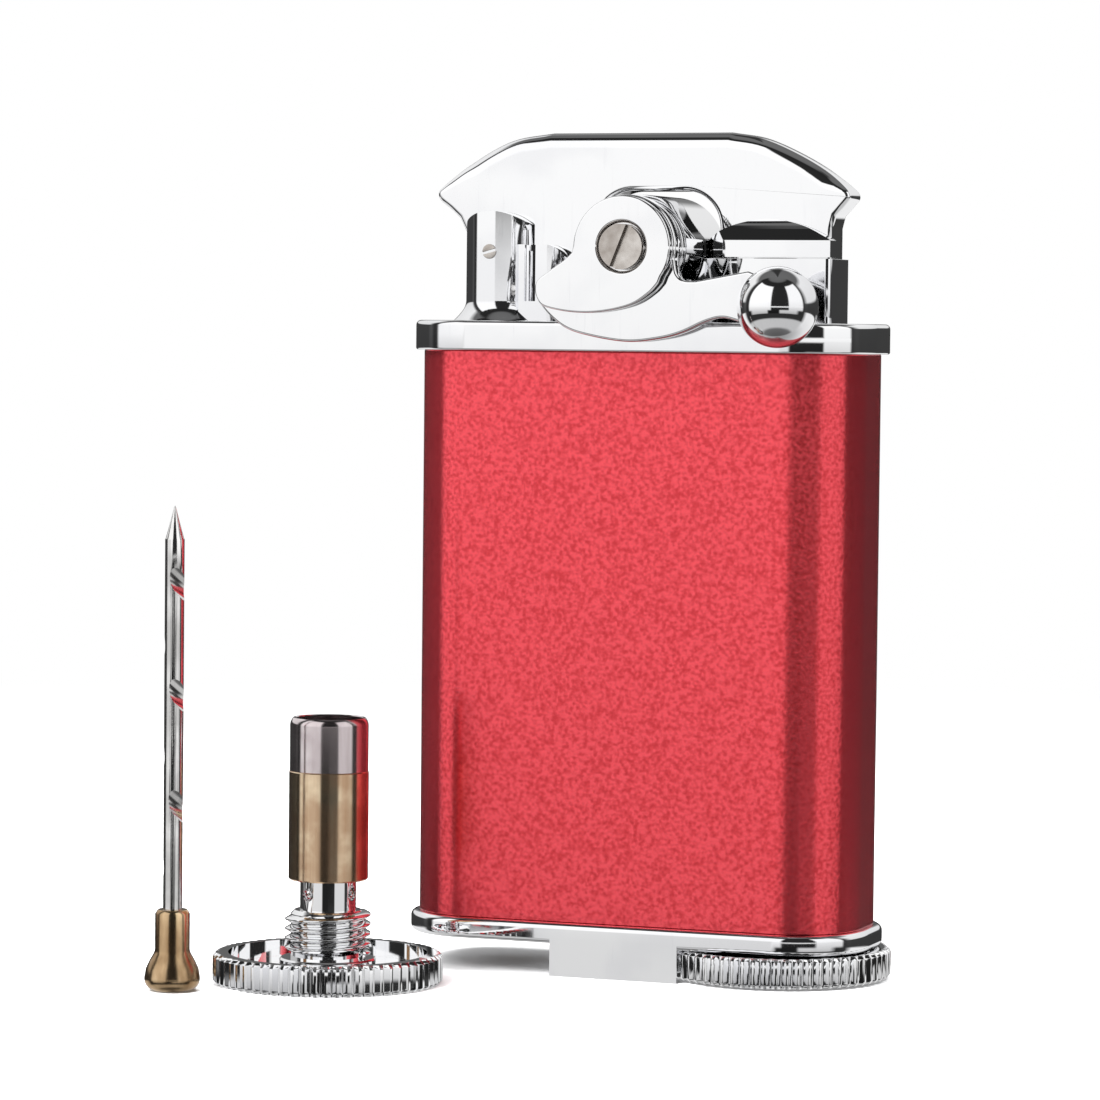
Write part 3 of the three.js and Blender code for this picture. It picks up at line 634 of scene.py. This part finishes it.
# the last step of every piece: clean faces, metres, finish, rounded edges, and what it stands for
def finished(name, shape, look, slotName, body, *stoodFor, edge=0.0, segments=3, sharp=32):
    shape.name = name
    shape.data.name = name
    bm = bmesh.new()
    bm.from_mesh(shape.data)
    joinFlats(bm)
    for face in bm.faces:
        face.smooth = True
    for rim in bm.edges:
        rim.smooth = len(rim.link_faces) == 2 and rim.calc_face_angle(0) < radians(sharp)
    bmesh.ops.scale(bm, vec=(mm, mm, mm), verts=bm.verts)
    bm.to_mesh(shape.data)
    bm.free()
    shape.data.materials.clear()
    shape.data.materials.append(looks[look])
    if edge:
        rounding = shape.modifiers.new("roundedEdges", "BEVEL")
        rounding.width = edge * mm
        rounding.segments = segments
        rounding.limit_method = "ANGLE"
        rounding.angle_limit = radians(sharp)
    shading = shape.modifiers.new("evenShading", "WEIGHTED_NORMAL")
    shading.keep_sharp = not edge
    shading.weight = 80
    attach(shape, body)
    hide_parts(*stoodFor)
    return shape


def chromed(name, shape, body, node, **rounding):
    finished(name, shape, "chrome", "chrome", body, node, **rounding)


# the sleeve between its two end plates
lowSleeve, highSleeve = corners("body_sleeve")
lowDeck, highDeck = corners("top_plate")
lowBase, highBase = corners("base_plate")
sleeve = {"corner": 5.6, "wall": 0.5, "edge": 0.12}
plates = {"corner": 6.3, "topEdge": 0.4, "underEdge": 0.16, "baseEdge": 0.5, "baseThick": 1.7}
baseUnder = lowSleeve.z - plates["baseThick"]

# the room left round the wick tube, and the radii of the holes that take other pieces
fit = {
    "wickTube": 0.15, "socket": 3.65, "flintScrew": 1.45, "flintTube": 1.75, "axle": 1.15, "armPin": 0.75,
}


# the rounded outline of a piece, a little way in from its edge
def inside(low, high, corner, inset):
    return roundedBox(low.x + inset, high.x - inset, low.y + inset, high.y - inset, corner - inset, 40)


def buildSleeve():
    low, high = lowSleeve, highSleeve
    outer = standing(inside(low, high, sleeve["corner"], 0), low.z, high.z)
    inner = standing(inside(low, high, sleeve["corner"], sleeve["wall"]), low.z - 1, high.z + 1)
    made = carve(outer, inner)
    finished("sleeve", made, "redSatin", "red_sleeve", "root", "body_sleeve", edge=sleeve["edge"])


# a plate like the sleeve's outline whose two rims are rounded differently
def roundedPlate(low, high, corner, under, over):
    rings = []
    for turn in range(7):
        angle = radians(-90 + turn * 15)
        rings.append((under * (1 - cos(angle)), low.z + under * (1 + sin(angle))))
    for turn in range(7):
        angle = radians(turn * 15)
        rings.append((over * (1 - cos(angle)), high.z - over * (1 - sin(angle))))
    return lofted([[(x, y, z) for x, y in inside(low, high, corner, inset)] for inset, z in rings])


def buildDeck():
    plate = roundedPlate(lowDeck, highDeck, plates["corner"], plates["underEdge"], plates["topEdge"])
    low, high = corners("wick_tube")
    centre = (low + high) / 2
    hole = drum((high.x - low.x) / 2 + fit["wickTube"], lowDeck.z - 1, highDeck.z + 1, centre.x, centre.y)
    chromed("deck", carve(plate, hole), "root", "top_plate")


foot = {"hollow": 9.75, "edge": 0.12}


def buildBase():
    low = Vector((lowBase.x, lowBase.y, baseUnder))
    plate = roundedPlate(low, highBase, plates["corner"], plates["baseEdge"], plates["baseEdge"])
    socket = middle("filler_screw").x
    reach = highBase.y
    hollow = foot["hollow"]
    angle = degrees(asin(reach / hollow))
    corner = socket - hollow * cos(radians(angle))
    outline = [
        (corner, -reach),
        *arc(socket, 0, hollow, 180 + angle, 180 - angle, 24)[1:-1],
        (corner, reach),
        (-corner, reach),
        *arc(-socket, 0, hollow, angle, -angle, 24)[1:-1],
        (-corner, -reach),
    ]
    standingFoot = standing(outline, lowBase.z, highBase.z - 0.7)
    whole = united(plate, standingFoot)
    screwMiddle = middle("flint_screw")
    cuts = [
        drum(fit["socket"], lowBase.z - 1, highBase.z + 1, -socket, 0),
        drum(fit["flintScrew"], lowBase.z - 1, highBase.z + 1, screwMiddle.x, screwMiddle.y),
    ]
    chromed("base", carve(whole, *cuts), "root", "base_plate", edge=foot["edge"])


buildSleeve()
buildDeck()
buildBase()
print("body built")


# the arm's tower, its pin and the guide cheek beside it
deck = highDeck.z
hub = middle("pivot_screw")
armLow, armHigh = corners("snuffer_arm")
pinMiddle = middle("arm_pin")
tower = {
    "radius": 2.9, "straight": 2.7, "dome": 4.4, "rise": 8.9, "flare": 1.0, "flareHeight": 1.6,
    "edge": 0.15, "groove": 0.9,
}
cheek = {"left": -10.2, "right": -6.5, "front": -3.6, "rise": 6.2, "round": 1.5}


def stadium(x, grow, steps=20):
    wide = tower["radius"] + grow
    deep = wide + tower["straight"] / 2
    return roundedBox(x - wide, x + wide, -deep, deep, wide - 0.001, steps)


def buildTower():
    x = pinMiddle.x
    top = deck + tower["rise"]
    column = standing(stadium(x, 0), deck, top)
    column = carve(
        column, drum(tower["dome"], -10, 10, x, top - tower["dome"], "Y", 128), how="INTERSECT"
    )
    rings = []
    for step in range(9):
        t = step / 8
        grow = tower["flare"] * (1 - sin(t * pi / 2))
        rings.append([(px, py, deck + tower["flareHeight"] * t) for px, py in stadium(x, grow)])
    rings.append([(px, py, deck + 3) for px, py in stadium(x, 0)])
    root = lofted(rings)
    top = deck + cheek["rise"]
    side = [
        (cheek["left"], deck),
        (cheek["right"], deck),
        *arc(cheek["right"] - cheek["round"], top - cheek["round"], cheek["round"], 0, 90, 16),
        (cheek["left"], top),
    ]
    plan = [
        (cheek["left"], armLow.y - 0.1),
        (cheek["left"], cheek["front"]),
        *arc(cheek["right"] - cheek["round"], cheek["front"] + cheek["round"], cheek["round"], -90, 0, 16),
        (cheek["right"], armLow.y - 0.1),
    ]
    lug = carve(facing(side, cheek["front"] - 1, 0), standing(plan, deck - 1, top + 1), how="INTERSECT")
    whole = united(column, root, lug)
    slot = armHigh.y + 0.1
    cuts = [
        block((x - 5, -8.9), (-slot, slot), (pinMiddle.z - 3.1, deck + 12)),
        drum(
            tower["groove"], deck + tower["flareHeight"], deck + tower["rise"] - 1.5,
            x + tower["radius"] + 0.4, armLow.y - 1.2,
        ),
    ]
    chromed("tower", carve(whole, *cuts), "root", "hinge_tower", edge=tower["edge"])


pin = {"radius": 0.62, "slot": 0.1, "turn": -15, "edge": 0.06}


def buildArmPin():
    low, high = corners("arm_pin")
    slot = block(
        (-1, 1), (-0.4, 0.15), (-pin["slot"], pin["slot"]),
        Matrix.Rotation(radians(pin["turn"]), 3, "Y"), (pinMiddle.x, low.y, pinMiddle.z),
    )
    bar = drum(pin["radius"] - 0.02, low.y, high.y, pinMiddle.x, pinMiddle.z, "Y", 32)
    finished("armPin", carve(bar, slot), "nickel", "nickel", "root", "arm_pin", edge=pin["edge"])


buildTower()
buildArmPin()
print("tower built")


# the drum over the flint wheel, and the burner's chimney
housing = {
    "radius": 4.25, "cavity": 3.55, "recess": 2.6, "recessDeep": 2.4, "stand": (-2.6, 3.9),
    "window": (-2.6, 0.8), "edge": 0.22,
}
chimney = {"facet": (7.25, -2.0), "left": 4.2, "corner": 0.5, "bore": 2.2, "edge": 0.14}


def buildHousing():
    low, high = corners("wheel_housing")
    wheelLow, wheelHigh = corners("flint_wheel")
    flint = middle("flint_tube")
    cover = drum(housing["radius"], low.y, high.y, hub.x, hub.z, "Y", 128)
    stand = block(housing["stand"], (low.y + 0.02, high.y - 0.02), (deck, hub.z))
    cuts = [
        axleHole(low, high, 32),
        drum(housing["cavity"], wheelLow.y - 0.2, wheelHigh.y + 0.2, hub.x, hub.z, "Y", 96),
        drum(housing["recess"], low.y - 1, low.y + housing["recessDeep"], hub.x, hub.z, "Y"),
        block(
            (hub.x + 1.5, hub.x + housing["radius"] + 1), (chimney["facet"][1], wheelHigh.y + 0.2),
            (hub.z + housing["window"][0], hub.z + housing["window"][1]),
        ),
        drum(fit["flintTube"], deck - 1, hub.z, flint.x, flint.y, "Z", 40),
    ]
    made = carve(united(cover, stand), *cuts)
    chromed("wheelHousing", made, "root", "wheel_housing", edge=housing["edge"])


def buildChimney():
    low, high = corners("burner_chimney")
    wick = middle("wick")
    corner = chimney["corner"]
    facetX, facetY = chimney["facet"]
    plan = [
        (facetX, low.y),
        *arc(high.x - corner, low.y + corner, corner, -90, 0, 10),
        *arc(high.x - corner, high.y - corner, corner, 0, 90, 10),
        (chimney["left"], high.y),
        (chimney["left"], facetY),
    ]
    cuts = [
        drum(chimney["bore"], deck - 1, high.z + 1, wick.x, wick.y, "Z", 72),
        block((low.x - 1, wick.x), (wick.y - 1.2, wick.y + 1.2), (deck + 2.7, high.z + 1)),
        drum(housing["radius"] + 0.08, low.y - 1, high.y + 1, hub.x, hub.z, "Y", 128),
    ]
    made = carve(standing(plan, deck, high.z), *cuts)
    chromed("chimney", made, "root", "burner_chimney", edge=chimney["edge"])


buildHousing()
buildChimney()
print("burner built")


# the arm and the cap that snuffs the flame
arm = {
    "edge": 0.42, "topEdge": 1.3, "knuckle": 2.7, "archHalf": 5.2, "archRise": 4.7,
    "archRound": 3.0, "notch": 0.72, "rightEdge": 15.7,
    "underside": 2.3, "heel": 2.6, "shoulder": 7.6,
    # where the broad rounding starts above the deck, and how soon it is reached on the left and right
    "softFrom": 10.6, "softReach": (2.4, 1.2),
}
swing = {"lever": 50, "arm": 36}


def armOutline():
    top = armHigh.z
    low = armLow.z
    under = pinMiddle.z - arm["underside"]
    left, right = hub.x - arm["archHalf"], hub.x + arm["archHalf"]
    spring = hub.z + arm["archRise"] - arm["archRound"]
    return [
        *flowing(
            [
                (-17.5, deck + 11.2), (-18.1, deck + 10.55), (-17.95, deck + 9.85),
                (-17.0, deck + 9.1), (-16.2, deck + 8.4),
            ],
            4,
        ),
        (pinMiddle.x - arm["knuckle"], pinMiddle.z + 0.8),
        *arc(pinMiddle.x, pinMiddle.z, arm["knuckle"], 180, 298, 20),
        (pinMiddle.x + arm["heel"], under),
        (left, under),
        *arc(left + arm["archRound"], spring, arm["archRound"], 180, 90, 24),
        *arc(right - arm["archRound"], spring, arm["archRound"], 90, 0, 24),
        (right, low), (arm["rightEdge"], low), (arm["rightEdge"], deck + arm["shoulder"]),
        *flowing(
            [
                (15.95, deck + 8.6), (16.85, deck + 9.6), (17.15, deck + 10.15), (16.7, deck + 10.85),
                (14.9, deck + 12.3), (12.3, deck + 13.75), (9.6, deck + 14.85), (6.9, top),
            ],
            5,
        ),
        *flowing(
            [
                (-8.4, top), (-11.4, deck + 14.85), (-13.6, deck + 13.95), (-15.8, deck + 12.6),
                (-17.1, deck + 11.55),
            ],
            5,
        ),
    ]


def seenByArm(leverAngle, place):
    def turnedBy(point, x, z, angle):
        away = Vector((point[0] - x, point[1] - z))
        across, up = cos(angle), sin(angle)
        return x + away.x * across - away.y * up, z + away.x * up + away.y * across

    armAngle = leverAngle * swing["arm"] / swing["lever"]
    place = turnedBy(place, hub.x, hub.z, -radians(leverAngle))
    return turnedBy(place, pinMiddle.x, pinMiddle.z, -radians(armAngle))


def buildArm():
    def roundness(x, z):
        share = (z - deck - arm["softFrom"]) / arm["softReach"][x > 0]
        return arm["edge"] + (arm["topEdge"] - arm["edge"]) * max(0.0, min(1.0, share))

    plateShape = softPlate(armOutline(), armLow.y, armHigh.y, roundness)
    lift = middle("lift_pin")
    path = [seenByArm(swing["lever"] * step / 20, (lift.x, lift.z)) for step in range(21)]
    for x, z in path:
        plateShape = carve(plateShape, drum(arm["notch"], -5, 5, x, z, "Y", 32))
    hole = drum(fit["armPin"], -5, 5, pinMiddle.x, pinMiddle.z, "Y", 32)
    chromed("snufferArm", carve(plateShape, hole), "snuffer", "snuffer_arm", sharp=40)


hood = {
    "brow": 1.35, "crown": 3.1,
    "slope": [(0.48, 0.68), (0.93, 1.26), (1.25, 1.56), (1.65, 1.75)],
    "bevel": 1.6, "edge": 0.1,
}


def buildHood():
    low, high = corners("snuffer_cap")
    brow, crown = low.z + hood["brow"], low.z + hood["crown"]
    centre = (low.x + high.x) / 2
    side = [
        (low.x, low.z), (high.x, low.z), (high.x, brow),
        *flowing(
            [
                (high.x, brow + 0.05), (centre + 2.7, brow + 1.2), (centre - 0.2, crown - 0.03),
                (centre - 2.9, brow + 1.3), (low.x, brow + 0.15),
            ],
            12,
        )[1:],
    ]
    slope = [(low.y, brow)]
    slope += flowing([(low.y + 0.02, brow + 0.02), *[(low.y + y, brow + z) for y, z in hood["slope"]]], 8)
    slope += [(high.y, low.z), (low.y, low.z)]
    made = carve(
        facing(side, low.y - 1, high.y), sideways(slope, low.x - 1, high.x + 1), how="INTERSECT"
    )
    corner = block(
        (-4, 0), (-4, 4), (-10, 10), Matrix.Rotation(radians(45), 3, "Z"),
        (low.x + hood["bevel"], low.y, low.z),
    )
    chromed("hood", carve(made, corner), "snuffer", "snuffer_cap", edge=hood["edge"], sharp=25)


buildArm()
buildHood()
print("arm built")


# the thumb lever: round hub, deep belly, ball, and the comma plate in front
lever = {"hub": 4.15, "edge": 0.22, "tipRound": 1.7}
comma = {"head": 4.05, "edge": 0.16, "recess": 2.05, "recessDeep": 0.6}
ball = {"radius": 3.2}
screwHead = {"radius": 1.8, "slot": 0.24, "slotDeep": 0.4, "turn": 22, "edge": 0.12}


def buildLever():
    low, high = corners("thumb_lever")
    tip = deck + 1.3
    belly = [
        (-3.05, hub.z - 0.75), (-4.4, 57.05), (-5.6, 56.2), (-6.3, 54.9), (-5.9, 53.7), (-4.1, 52.2),
        (-1.8, 51.5), (1.2, 51.1), (3.8, 51.35), (5.75, 51.85), (7.8, 52.75), (9.2, 53.05), (10.8, 52.7),
        (12.4, tip - 1.5), (14, tip - lever["tipRound"]),
    ]
    outline = [
        *arc(hub.x, hub.z, lever["hub"], -12, 188, 60),
        *flowing(belly, 8)[1:],
        *arc(14, tip, lever["tipRound"], -90, 75, 16)[1:],
        (11.2, deck + 4.05),
        *flowing([(6.9, deck + 3.25), (5.9, deck + 3.3), (5.35, deck + 3.75), (5.15, deck + 4.5)], 6),
    ]
    made = carve(facing(outline, low.y, high.y), axleHole(low, high))
    chromed("thumbLever", made, "lever", "thumb_lever", edge=lever["edge"], sharp=30)


def buildComma():
    low, high = corners("cam_plate")
    tail = [
        (-3.05, 58.2), (-3.75, 57.55), (-5, 56.7), (-6, 55.95), (-6.2, 55.2), (-6, 54.4), (-5.3, 53.8),
        (-3, 53.4), (-0.6, 53.45), (1.85, 54), (3.4, 54.95), (4.25, 55.85),
    ]
    outline = [
        *arc(hub.x, hub.z, comma["head"], -35, 178, 64),
        *flowing(tail, 8)[1:-1],
    ]
    cuts = [
        axleHole(low, high),
        drum(comma["recess"], low.y - 1, low.y + comma["recessDeep"], hub.x, hub.z, "Y", 64),
    ]
    made = carve(facing(outline, low.y, high.y), *cuts)
    chromed("commaPlate", made, "lever", "cam_plate", edge=comma["edge"], sharp=30)


def buildBall():
    low, high = corners("lever_ball")
    radius = ball["radius"]
    centre = Vector(((low.x + high.x) / 2, low.y + radius, (low.z + high.z) / 2))
    bm = bmesh.new()
    bmesh.ops.create_uvsphere(bm, u_segments=96, v_segments=64, radius=radius)
    bmesh.ops.translate(bm, vec=centre, verts=bm.verts)
    flat = bmesh.ops.bisect_plane(
        bm, geom=bm.verts[:] + bm.edges[:] + bm.faces[:],
        plane_co=(0, high.y, 0), plane_no=(0, 1, 0), clear_outer=True,
    )
    rim = [edge for edge in flat["geom_cut"] if isinstance(edge, bmesh.types.BMEdge)]
    bmesh.ops.contextual_create(bm, geom=rim)
    chromed("ball", shapeOf(bm), "lever", "lever_ball", sharp=30)


def buildPivot():
    low, high = corners("pivot_screw")
    back = low.y + 0.75
    head = drum(screwHead["radius"], low.y, back, hub.x, hub.z, "Y", 72)
    axle = drum(1, back - 0.1, high.y, hub.x, hub.z, "Y", 40)
    slot = block(
        (-screwHead["slot"], screwHead["slot"]), (-1, screwHead["slotDeep"]), (-3, 3),
        Matrix.Rotation(radians(screwHead["turn"]), 3, "Y"), (hub.x, low.y, hub.z),
    )
    made = carve(united(head, axle), slot)
    finished("pivotScrew", made, "nickel", "nickel", "root", "pivot_screw", edge=screwHead["edge"])


axle = {"disc": 3.9, "discEdge": 0.15, "pin": 0.6, "pinEdge": 0.1}


def buildAxleParts():
    low, high = corners("drive_disc")
    disc = carve(drum(axle["disc"], low.y, high.y, hub.x, hub.z, "Y", 96), axleHole(low, high))
    chromed("driveDisc", disc, "lever", "drive_disc", edge=axle["discEdge"])
    low, high = corners("lift_pin")
    centre = (low + high) / 2
    bar = drum(axle["pin"], low.y, high.y, centre.x, centre.z, "Y", 40)
    finished("liftPin", bar, "steel", "steel", "lever", "lift_pin", edge=axle["pinEdge"])


# tip and valley are shares of one tooth's turn
wheel = {"teeth": 44, "depth": 0.28, "radius": 3.3, "tip": 0.15, "valley": 0.6}


def buildWheel():
    low, high = corners("flint_wheel")
    turn = 360 / wheel["teeth"]
    root = wheel["radius"] - wheel["depth"]
    outline = []
    for tooth in range(wheel["teeth"]):
        start, valley = tooth * turn, (tooth + wheel["valley"]) * turn
        outline += arc(hub.x, hub.z, wheel["radius"], start, (tooth + wheel["tip"]) * turn, 1)
        outline += arc(hub.x, hub.z, root, valley, valley, 1)[:1]
    made = carve(facing(outline, low.y, high.y), axleHole(low, high))
    finished("flintWheel", made, "steel", "steel", "wheel", "flint_wheel", sharp=20)


buildLever()
buildComma()
buildBall()
buildPivot()
buildAxleParts()
buildWheel()
print("lever built")


# the knurled screw plugs and the loose tools
plug = {
    "radius": 9.15, "teeth": 64, "depth": 0.5, "rim": 7.9, "floor": 1.1, "thick": 2.4,
    "chamfer": 0.3, "boss": 3.85, "bossTop": 2.0, "root": 2.95, "crest": 3.45, "threadTop": 5.8,
    "turns": 5, "edge": 0.07,
}
tamper = {
    "neck": 2.23, "neckTop": 8.2, "barrel": 3.17, "bore": 1.7, "ring": 3.12, "ringWall": 0.45,
    "hole": 0.55, "holeDown": 1.1,
}


# a disc with V-shaped teeth, bevelled where they meet the two faces
def toothedDisc(x, y, level):
    rings = []
    thick, chamfer = plug["thick"], plug["chamfer"]
    for height, inset in [(0, chamfer), (chamfer, 0), (thick - chamfer, 0), (thick, chamfer)]:
        ring = []
        for tooth in range(plug["teeth"]):
            for share, deep in [(-0.14, 0), (0.14, 0), (0.44, 1), (0.56, 1)]:
                turn = 2 * pi * (tooth + share) / plug["teeth"]
                reach = plug["radius"] - plug["depth"] * max(deep, inset / plug["depth"])
                ring.append((x + reach * cos(turn), y + reach * sin(turn), level + height))
        rings.append(ring)
    return lofted(rings)


# a real helix: one V of thread carried up and round
def helicalThread(x, y, level):
    pitch = (plug["threadTop"] - plug["bossTop"]) / plug["turns"]
    steps = 48
    bm = bmesh.new()
    section = [
        (plug["root"] - 0.25, 0, 0.0), (plug["root"], 0, 0.0), (plug["crest"] - 0.03, 0, 0.36 * pitch),
        (plug["crest"] - 0.03, 0, 0.5 * pitch), (plug["root"], 0, 0.86 * pitch),
        (plug["root"] - 0.25, 0, 0.86 * pitch),
    ]
    verts = [bm.verts.new(point) for point in section]
    face = bm.faces.new(verts)
    turns = plug["turns"] - 0.9
    made = bmesh.ops.spin(
        bm, geom=verts + list(face.edges) + [face], cent=(0, 0, 0), axis=(0, 0, 1),
        dvec=(0, 0, pitch / steps), angle=2 * pi * turns, steps=int(steps * turns),
        use_merge=False, use_duplicate=False,
    )
    bmesh.ops.translate(bm, vec=(x, y, level + plug["bossTop"] + 0.02), verts=bm.verts)
    return shapeOf(bm)


def plugShape(x, y, level):
    disc = toothedDisc(x, y, level)
    disc = carve(disc, drum(plug["rim"], level + plug["floor"], level + 9, x, y, "Z", 128))
    stub = turned(
        [
            (0, level + 0.5), (plug["boss"], level + 0.5),
            (plug["boss"], level + plug["bossTop"] - 0.15),
            (plug["boss"] - 0.15, level + plug["bossTop"]), (plug["root"], level + plug["bossTop"]),
            (plug["root"], level + plug["threadTop"] - 0.3),
            (plug["root"] - 0.3, level + plug["threadTop"]), (0, level + plug["threadTop"]),
        ],
        x, y, 96,
    )
    return united(disc, stub)


def buildFiller():
    centre = middle("filler_screw")
    level = corners("filler_screw")[0].z
    made = gathered(plugShape(centre.x, centre.y, level), helicalThread(centre.x, centre.y, level))
    chromed("fillerScrew", made, "filler", "filler_screw", edge=plug["edge"], segments=2)


def buildTamper():
    centre = middle("tool_base")
    x, y = centre.x, centre.y
    neck = drum(tamper["neck"], plug["threadTop"] - 0.5, tamper["neckTop"] + 2, x, y, "Z", 72)
    made = united(plugShape(x, y, 0), neck)
    holeZ = tamper["neckTop"] - tamper["holeDown"]
    holes = united(
        drum(tamper["hole"], y - 4, y + 4, x - 0.9, holeZ, "Y", 32),
        drum(tamper["hole"] - 0.02, x - 4.1, x + 4.1, y - 0.31, holeZ + 0.013, "X", 30),
    )
    made = gathered(carve(made, holes), helicalThread(x, y, 0))
    chromed("toolBase", made, "tamper", "tool_base", edge=plug["edge"], segments=2)

    low, high = corners("tamper_barrel")
    wall = tamper["barrel"]
    barrel = turned(
        [
            (tamper["neck"] + 0.1, low.z), (wall - 0.12, low.z), (wall, low.z + 0.12),
            (wall, high.z - 0.05), (wall - 0.05, high.z), (tamper["bore"], high.z),
            (tamper["bore"], low.z + 2.2), (tamper["neck"] + 0.1, low.z + 2.2),
            (tamper["neck"] + 0.1, low.z),
        ],
        x, y, 96,
    )
    finished("tamperBarrel", barrel, "brass", "brass", "tamper", "tamper_barrel")

    low, high = corners("tamper_ring")
    wall = tamper["ring"]
    inner = wall - tamper["ringWall"]
    ring = turned(
        [
            (inner, low.z), (wall - 0.04, low.z), (wall, low.z + 0.05), (wall, high.z - 0.55),
            (wall - 0.06, high.z - 0.3), (wall - 0.2, high.z - 0.06), (wall - 0.27, high.z),
            (inner + 0.05, high.z), (inner, high.z - 0.06), (inner, low.z),
        ],
        x, y, 96,
    )
    finished("tamperRing", ring, "heatedSteel", "steel", "tamper", "tamper_ring")


pick = {
    "needle": 0.76, "tip": 2.1, "bites": 6, "spacing": 4.35, "bite": 0.95, "biteDeep": 0.5,
    "biteTurn": -25, "biteLean": 38, "knob": 2.19, "bead": 0.95,
}


def buildPick():
    low, high = corners("pick_needle")
    x, y = middle("pick_needle").x, middle("pick_needle").y
    cone = high.z - pick["tip"]
    needle = turned(
        [
            (0, low.z), (pick["needle"], low.z), (pick["needle"], cone - 0.55),
            (pick["needle"] - 0.04, cone - 0.45), (pick["needle"] - 0.2, cone + 0.1),
            (0.07, high.z - 0.1), (0, high.z),
        ],
        x, y, 48,
    )
    lean = Matrix.Rotation(radians(90 - pick["biteLean"]), 3, "X")
    reach = pick["needle"] + pick["bite"] - pick["biteDeep"]
    cuts = []
    for index in range(pick["bites"]):
        bm = bmesh.new()
        bmesh.ops.create_cone(
            bm, cap_ends=True, segments=48, radius1=pick["bite"], radius2=pick["bite"], depth=6
        )
        bmesh.ops.rotate(bm, cent=(0, 0, 0), matrix=lean, verts=bm.verts)
        bmesh.ops.translate(bm, vec=(reach, 0, 0), verts=bm.verts)
        turn = Matrix.Rotation(radians(pick["biteTurn"] + 180 * (index % 2)), 3, "Z")
        bmesh.ops.rotate(bm, cent=(0, 0, 0), matrix=turn, verts=bm.verts)
        bmesh.ops.translate(bm, vec=(x, y, cone - 4 - index * pick["spacing"]), verts=bm.verts)
        cuts.append(shapeOf(bm))
    for cutter in cuts:
        needle = carve(needle, cutter)
    finished("pickNeedle", needle, "steel", "steel", "pick", "pick_needle", edge=0.03, segments=2, sharp=30)

    low, high = corners("pick_handle")
    knob, bead = pick["knob"], pick["bead"]
    profile = [(0, low.z), (knob - bead, low.z)]
    profile += [
        (knob - bead + bead * cos(radians(turn)), low.z + bead + bead * sin(radians(turn)))
        for turn in range(-80, 20, 10)
    ]
    profile += [(knob - 0.12, low.z + 1.75), (knob - 0.45, low.z + 2.45), (1.45, low.z + 2.95)]
    profile += [(1.37, low.z + 3.2), (1.37, high.z - 0.35), (1.2, high.z - 0.08), (1.1, high.z)]
    profile += [(pick["needle"] + 0.05, high.z), (pick["needle"] + 0.05, high.z - 2), (0, high.z - 2)]
    finished("pickHandle", turned(profile, x, y, 96), "agedBrass", "brass", "pick", "pick_handle", sharp=40)


buildFiller()
buildTamper()
buildPick()
print("tools built")


# the soft pieces: packing, felt and a wick of twisted strands
soft = {"strands": 6, "strand": 0.42, "twist": 9.0, "uneven": 0.35, "packingRound": 0.7, "feltRound": 0.4}


def buildWick():
    low, high = corners("wick")
    centre = (low + high) / 2
    radius = (high.x - low.x) / 2
    thick = radius * soft["strand"]
    rise = high.z - low.z
    strands = []
    for index in range(soft["strands"]):
        shorter = soft["uneven"] * (index * 5 % soft["strands"]) / soft["strands"]
        rings = []
        for step in range(97):
            height = low.z + (rise - shorter) * step / 96
            turn = 2 * pi * (index / soft["strands"] + (height - low.z) / soft["twist"])
            taper = 0.75 if step in (0, 96) else 1.0
            x = centre.x + (radius - thick) * cos(turn)
            y = centre.y + (radius - thick) * sin(turn)
            rings.append([(px, py, height) for px, py in arc(x, y, thick * taper, 0, 330, 11)])
        strands.append(lofted(rings))
    core = drum(radius * 0.5, low.z + 0.2, high.z - 0.7, centre.x, centre.y, "Z", 24)
    finished("wickStrands", gathered(core, *strands), "cotton", "cotton", "root", "wick", sharp=50)


def buildCapSeal():
    low, high = corners("cap_seal")
    centre = (low + high) / 2
    radius = (high.x - low.x) / 2
    profile = [(0, low.z + 0.2), (radius * 0.45, low.z + 0.16), (radius * 0.62, low.z + 0.04)]
    profile += [(x, z) for x, z in arc(radius - 0.2, low.z + 0.2, 0.2, -90, 0, 6)]
    profile += [(radius, high.z), (0, high.z)]
    seal = turned(profile, centre.x, centre.y, 64)
    finished("capSeal", seal, "felt", "felt", "snuffer", "cap_seal", sharp=50)


# the same packing with its edges softened
def buildPacking(name, node, look, rounding):
    bm = bmesh.new()
    bm.from_mesh(nodes[node].data)
    bmesh.ops.scale(bm, vec=(1 / mm, 1 / mm, 1 / mm), verts=bm.verts)
    bmesh.ops.remove_doubles(bm, verts=bm.verts, dist=0.001)
    joinFlats(bm)
    finished(name, shapeOf(bm), look, look, "root", node, edge=rounding, segments=4, sharp=50)


buildWick()
buildCapSeal()
buildPacking("tankWadding", "tank_wadding", "cotton", soft["packingRound"])
buildPacking("feltPad", "felt_pad", "felt", soft["feltRound"])
print("soft pieces built")


# what stays as it is in the frame, mostly hidden inside
kept = {
    "fuel_tank": "tin",
    "wick_tube": "brass",
    "tool_tube": "brass",
    "flint_tube": "brass",
    "flint": "ferro",
    "flint_spring": "steel",
    "flint_screw": "brass",
    "lever_spring": "steel",
    "filler_gasket": "rubber",
}

for node, look in kept.items():
    nodes[node].data.materials.clear()
    nodes[node].data.materials.append(looks[look])
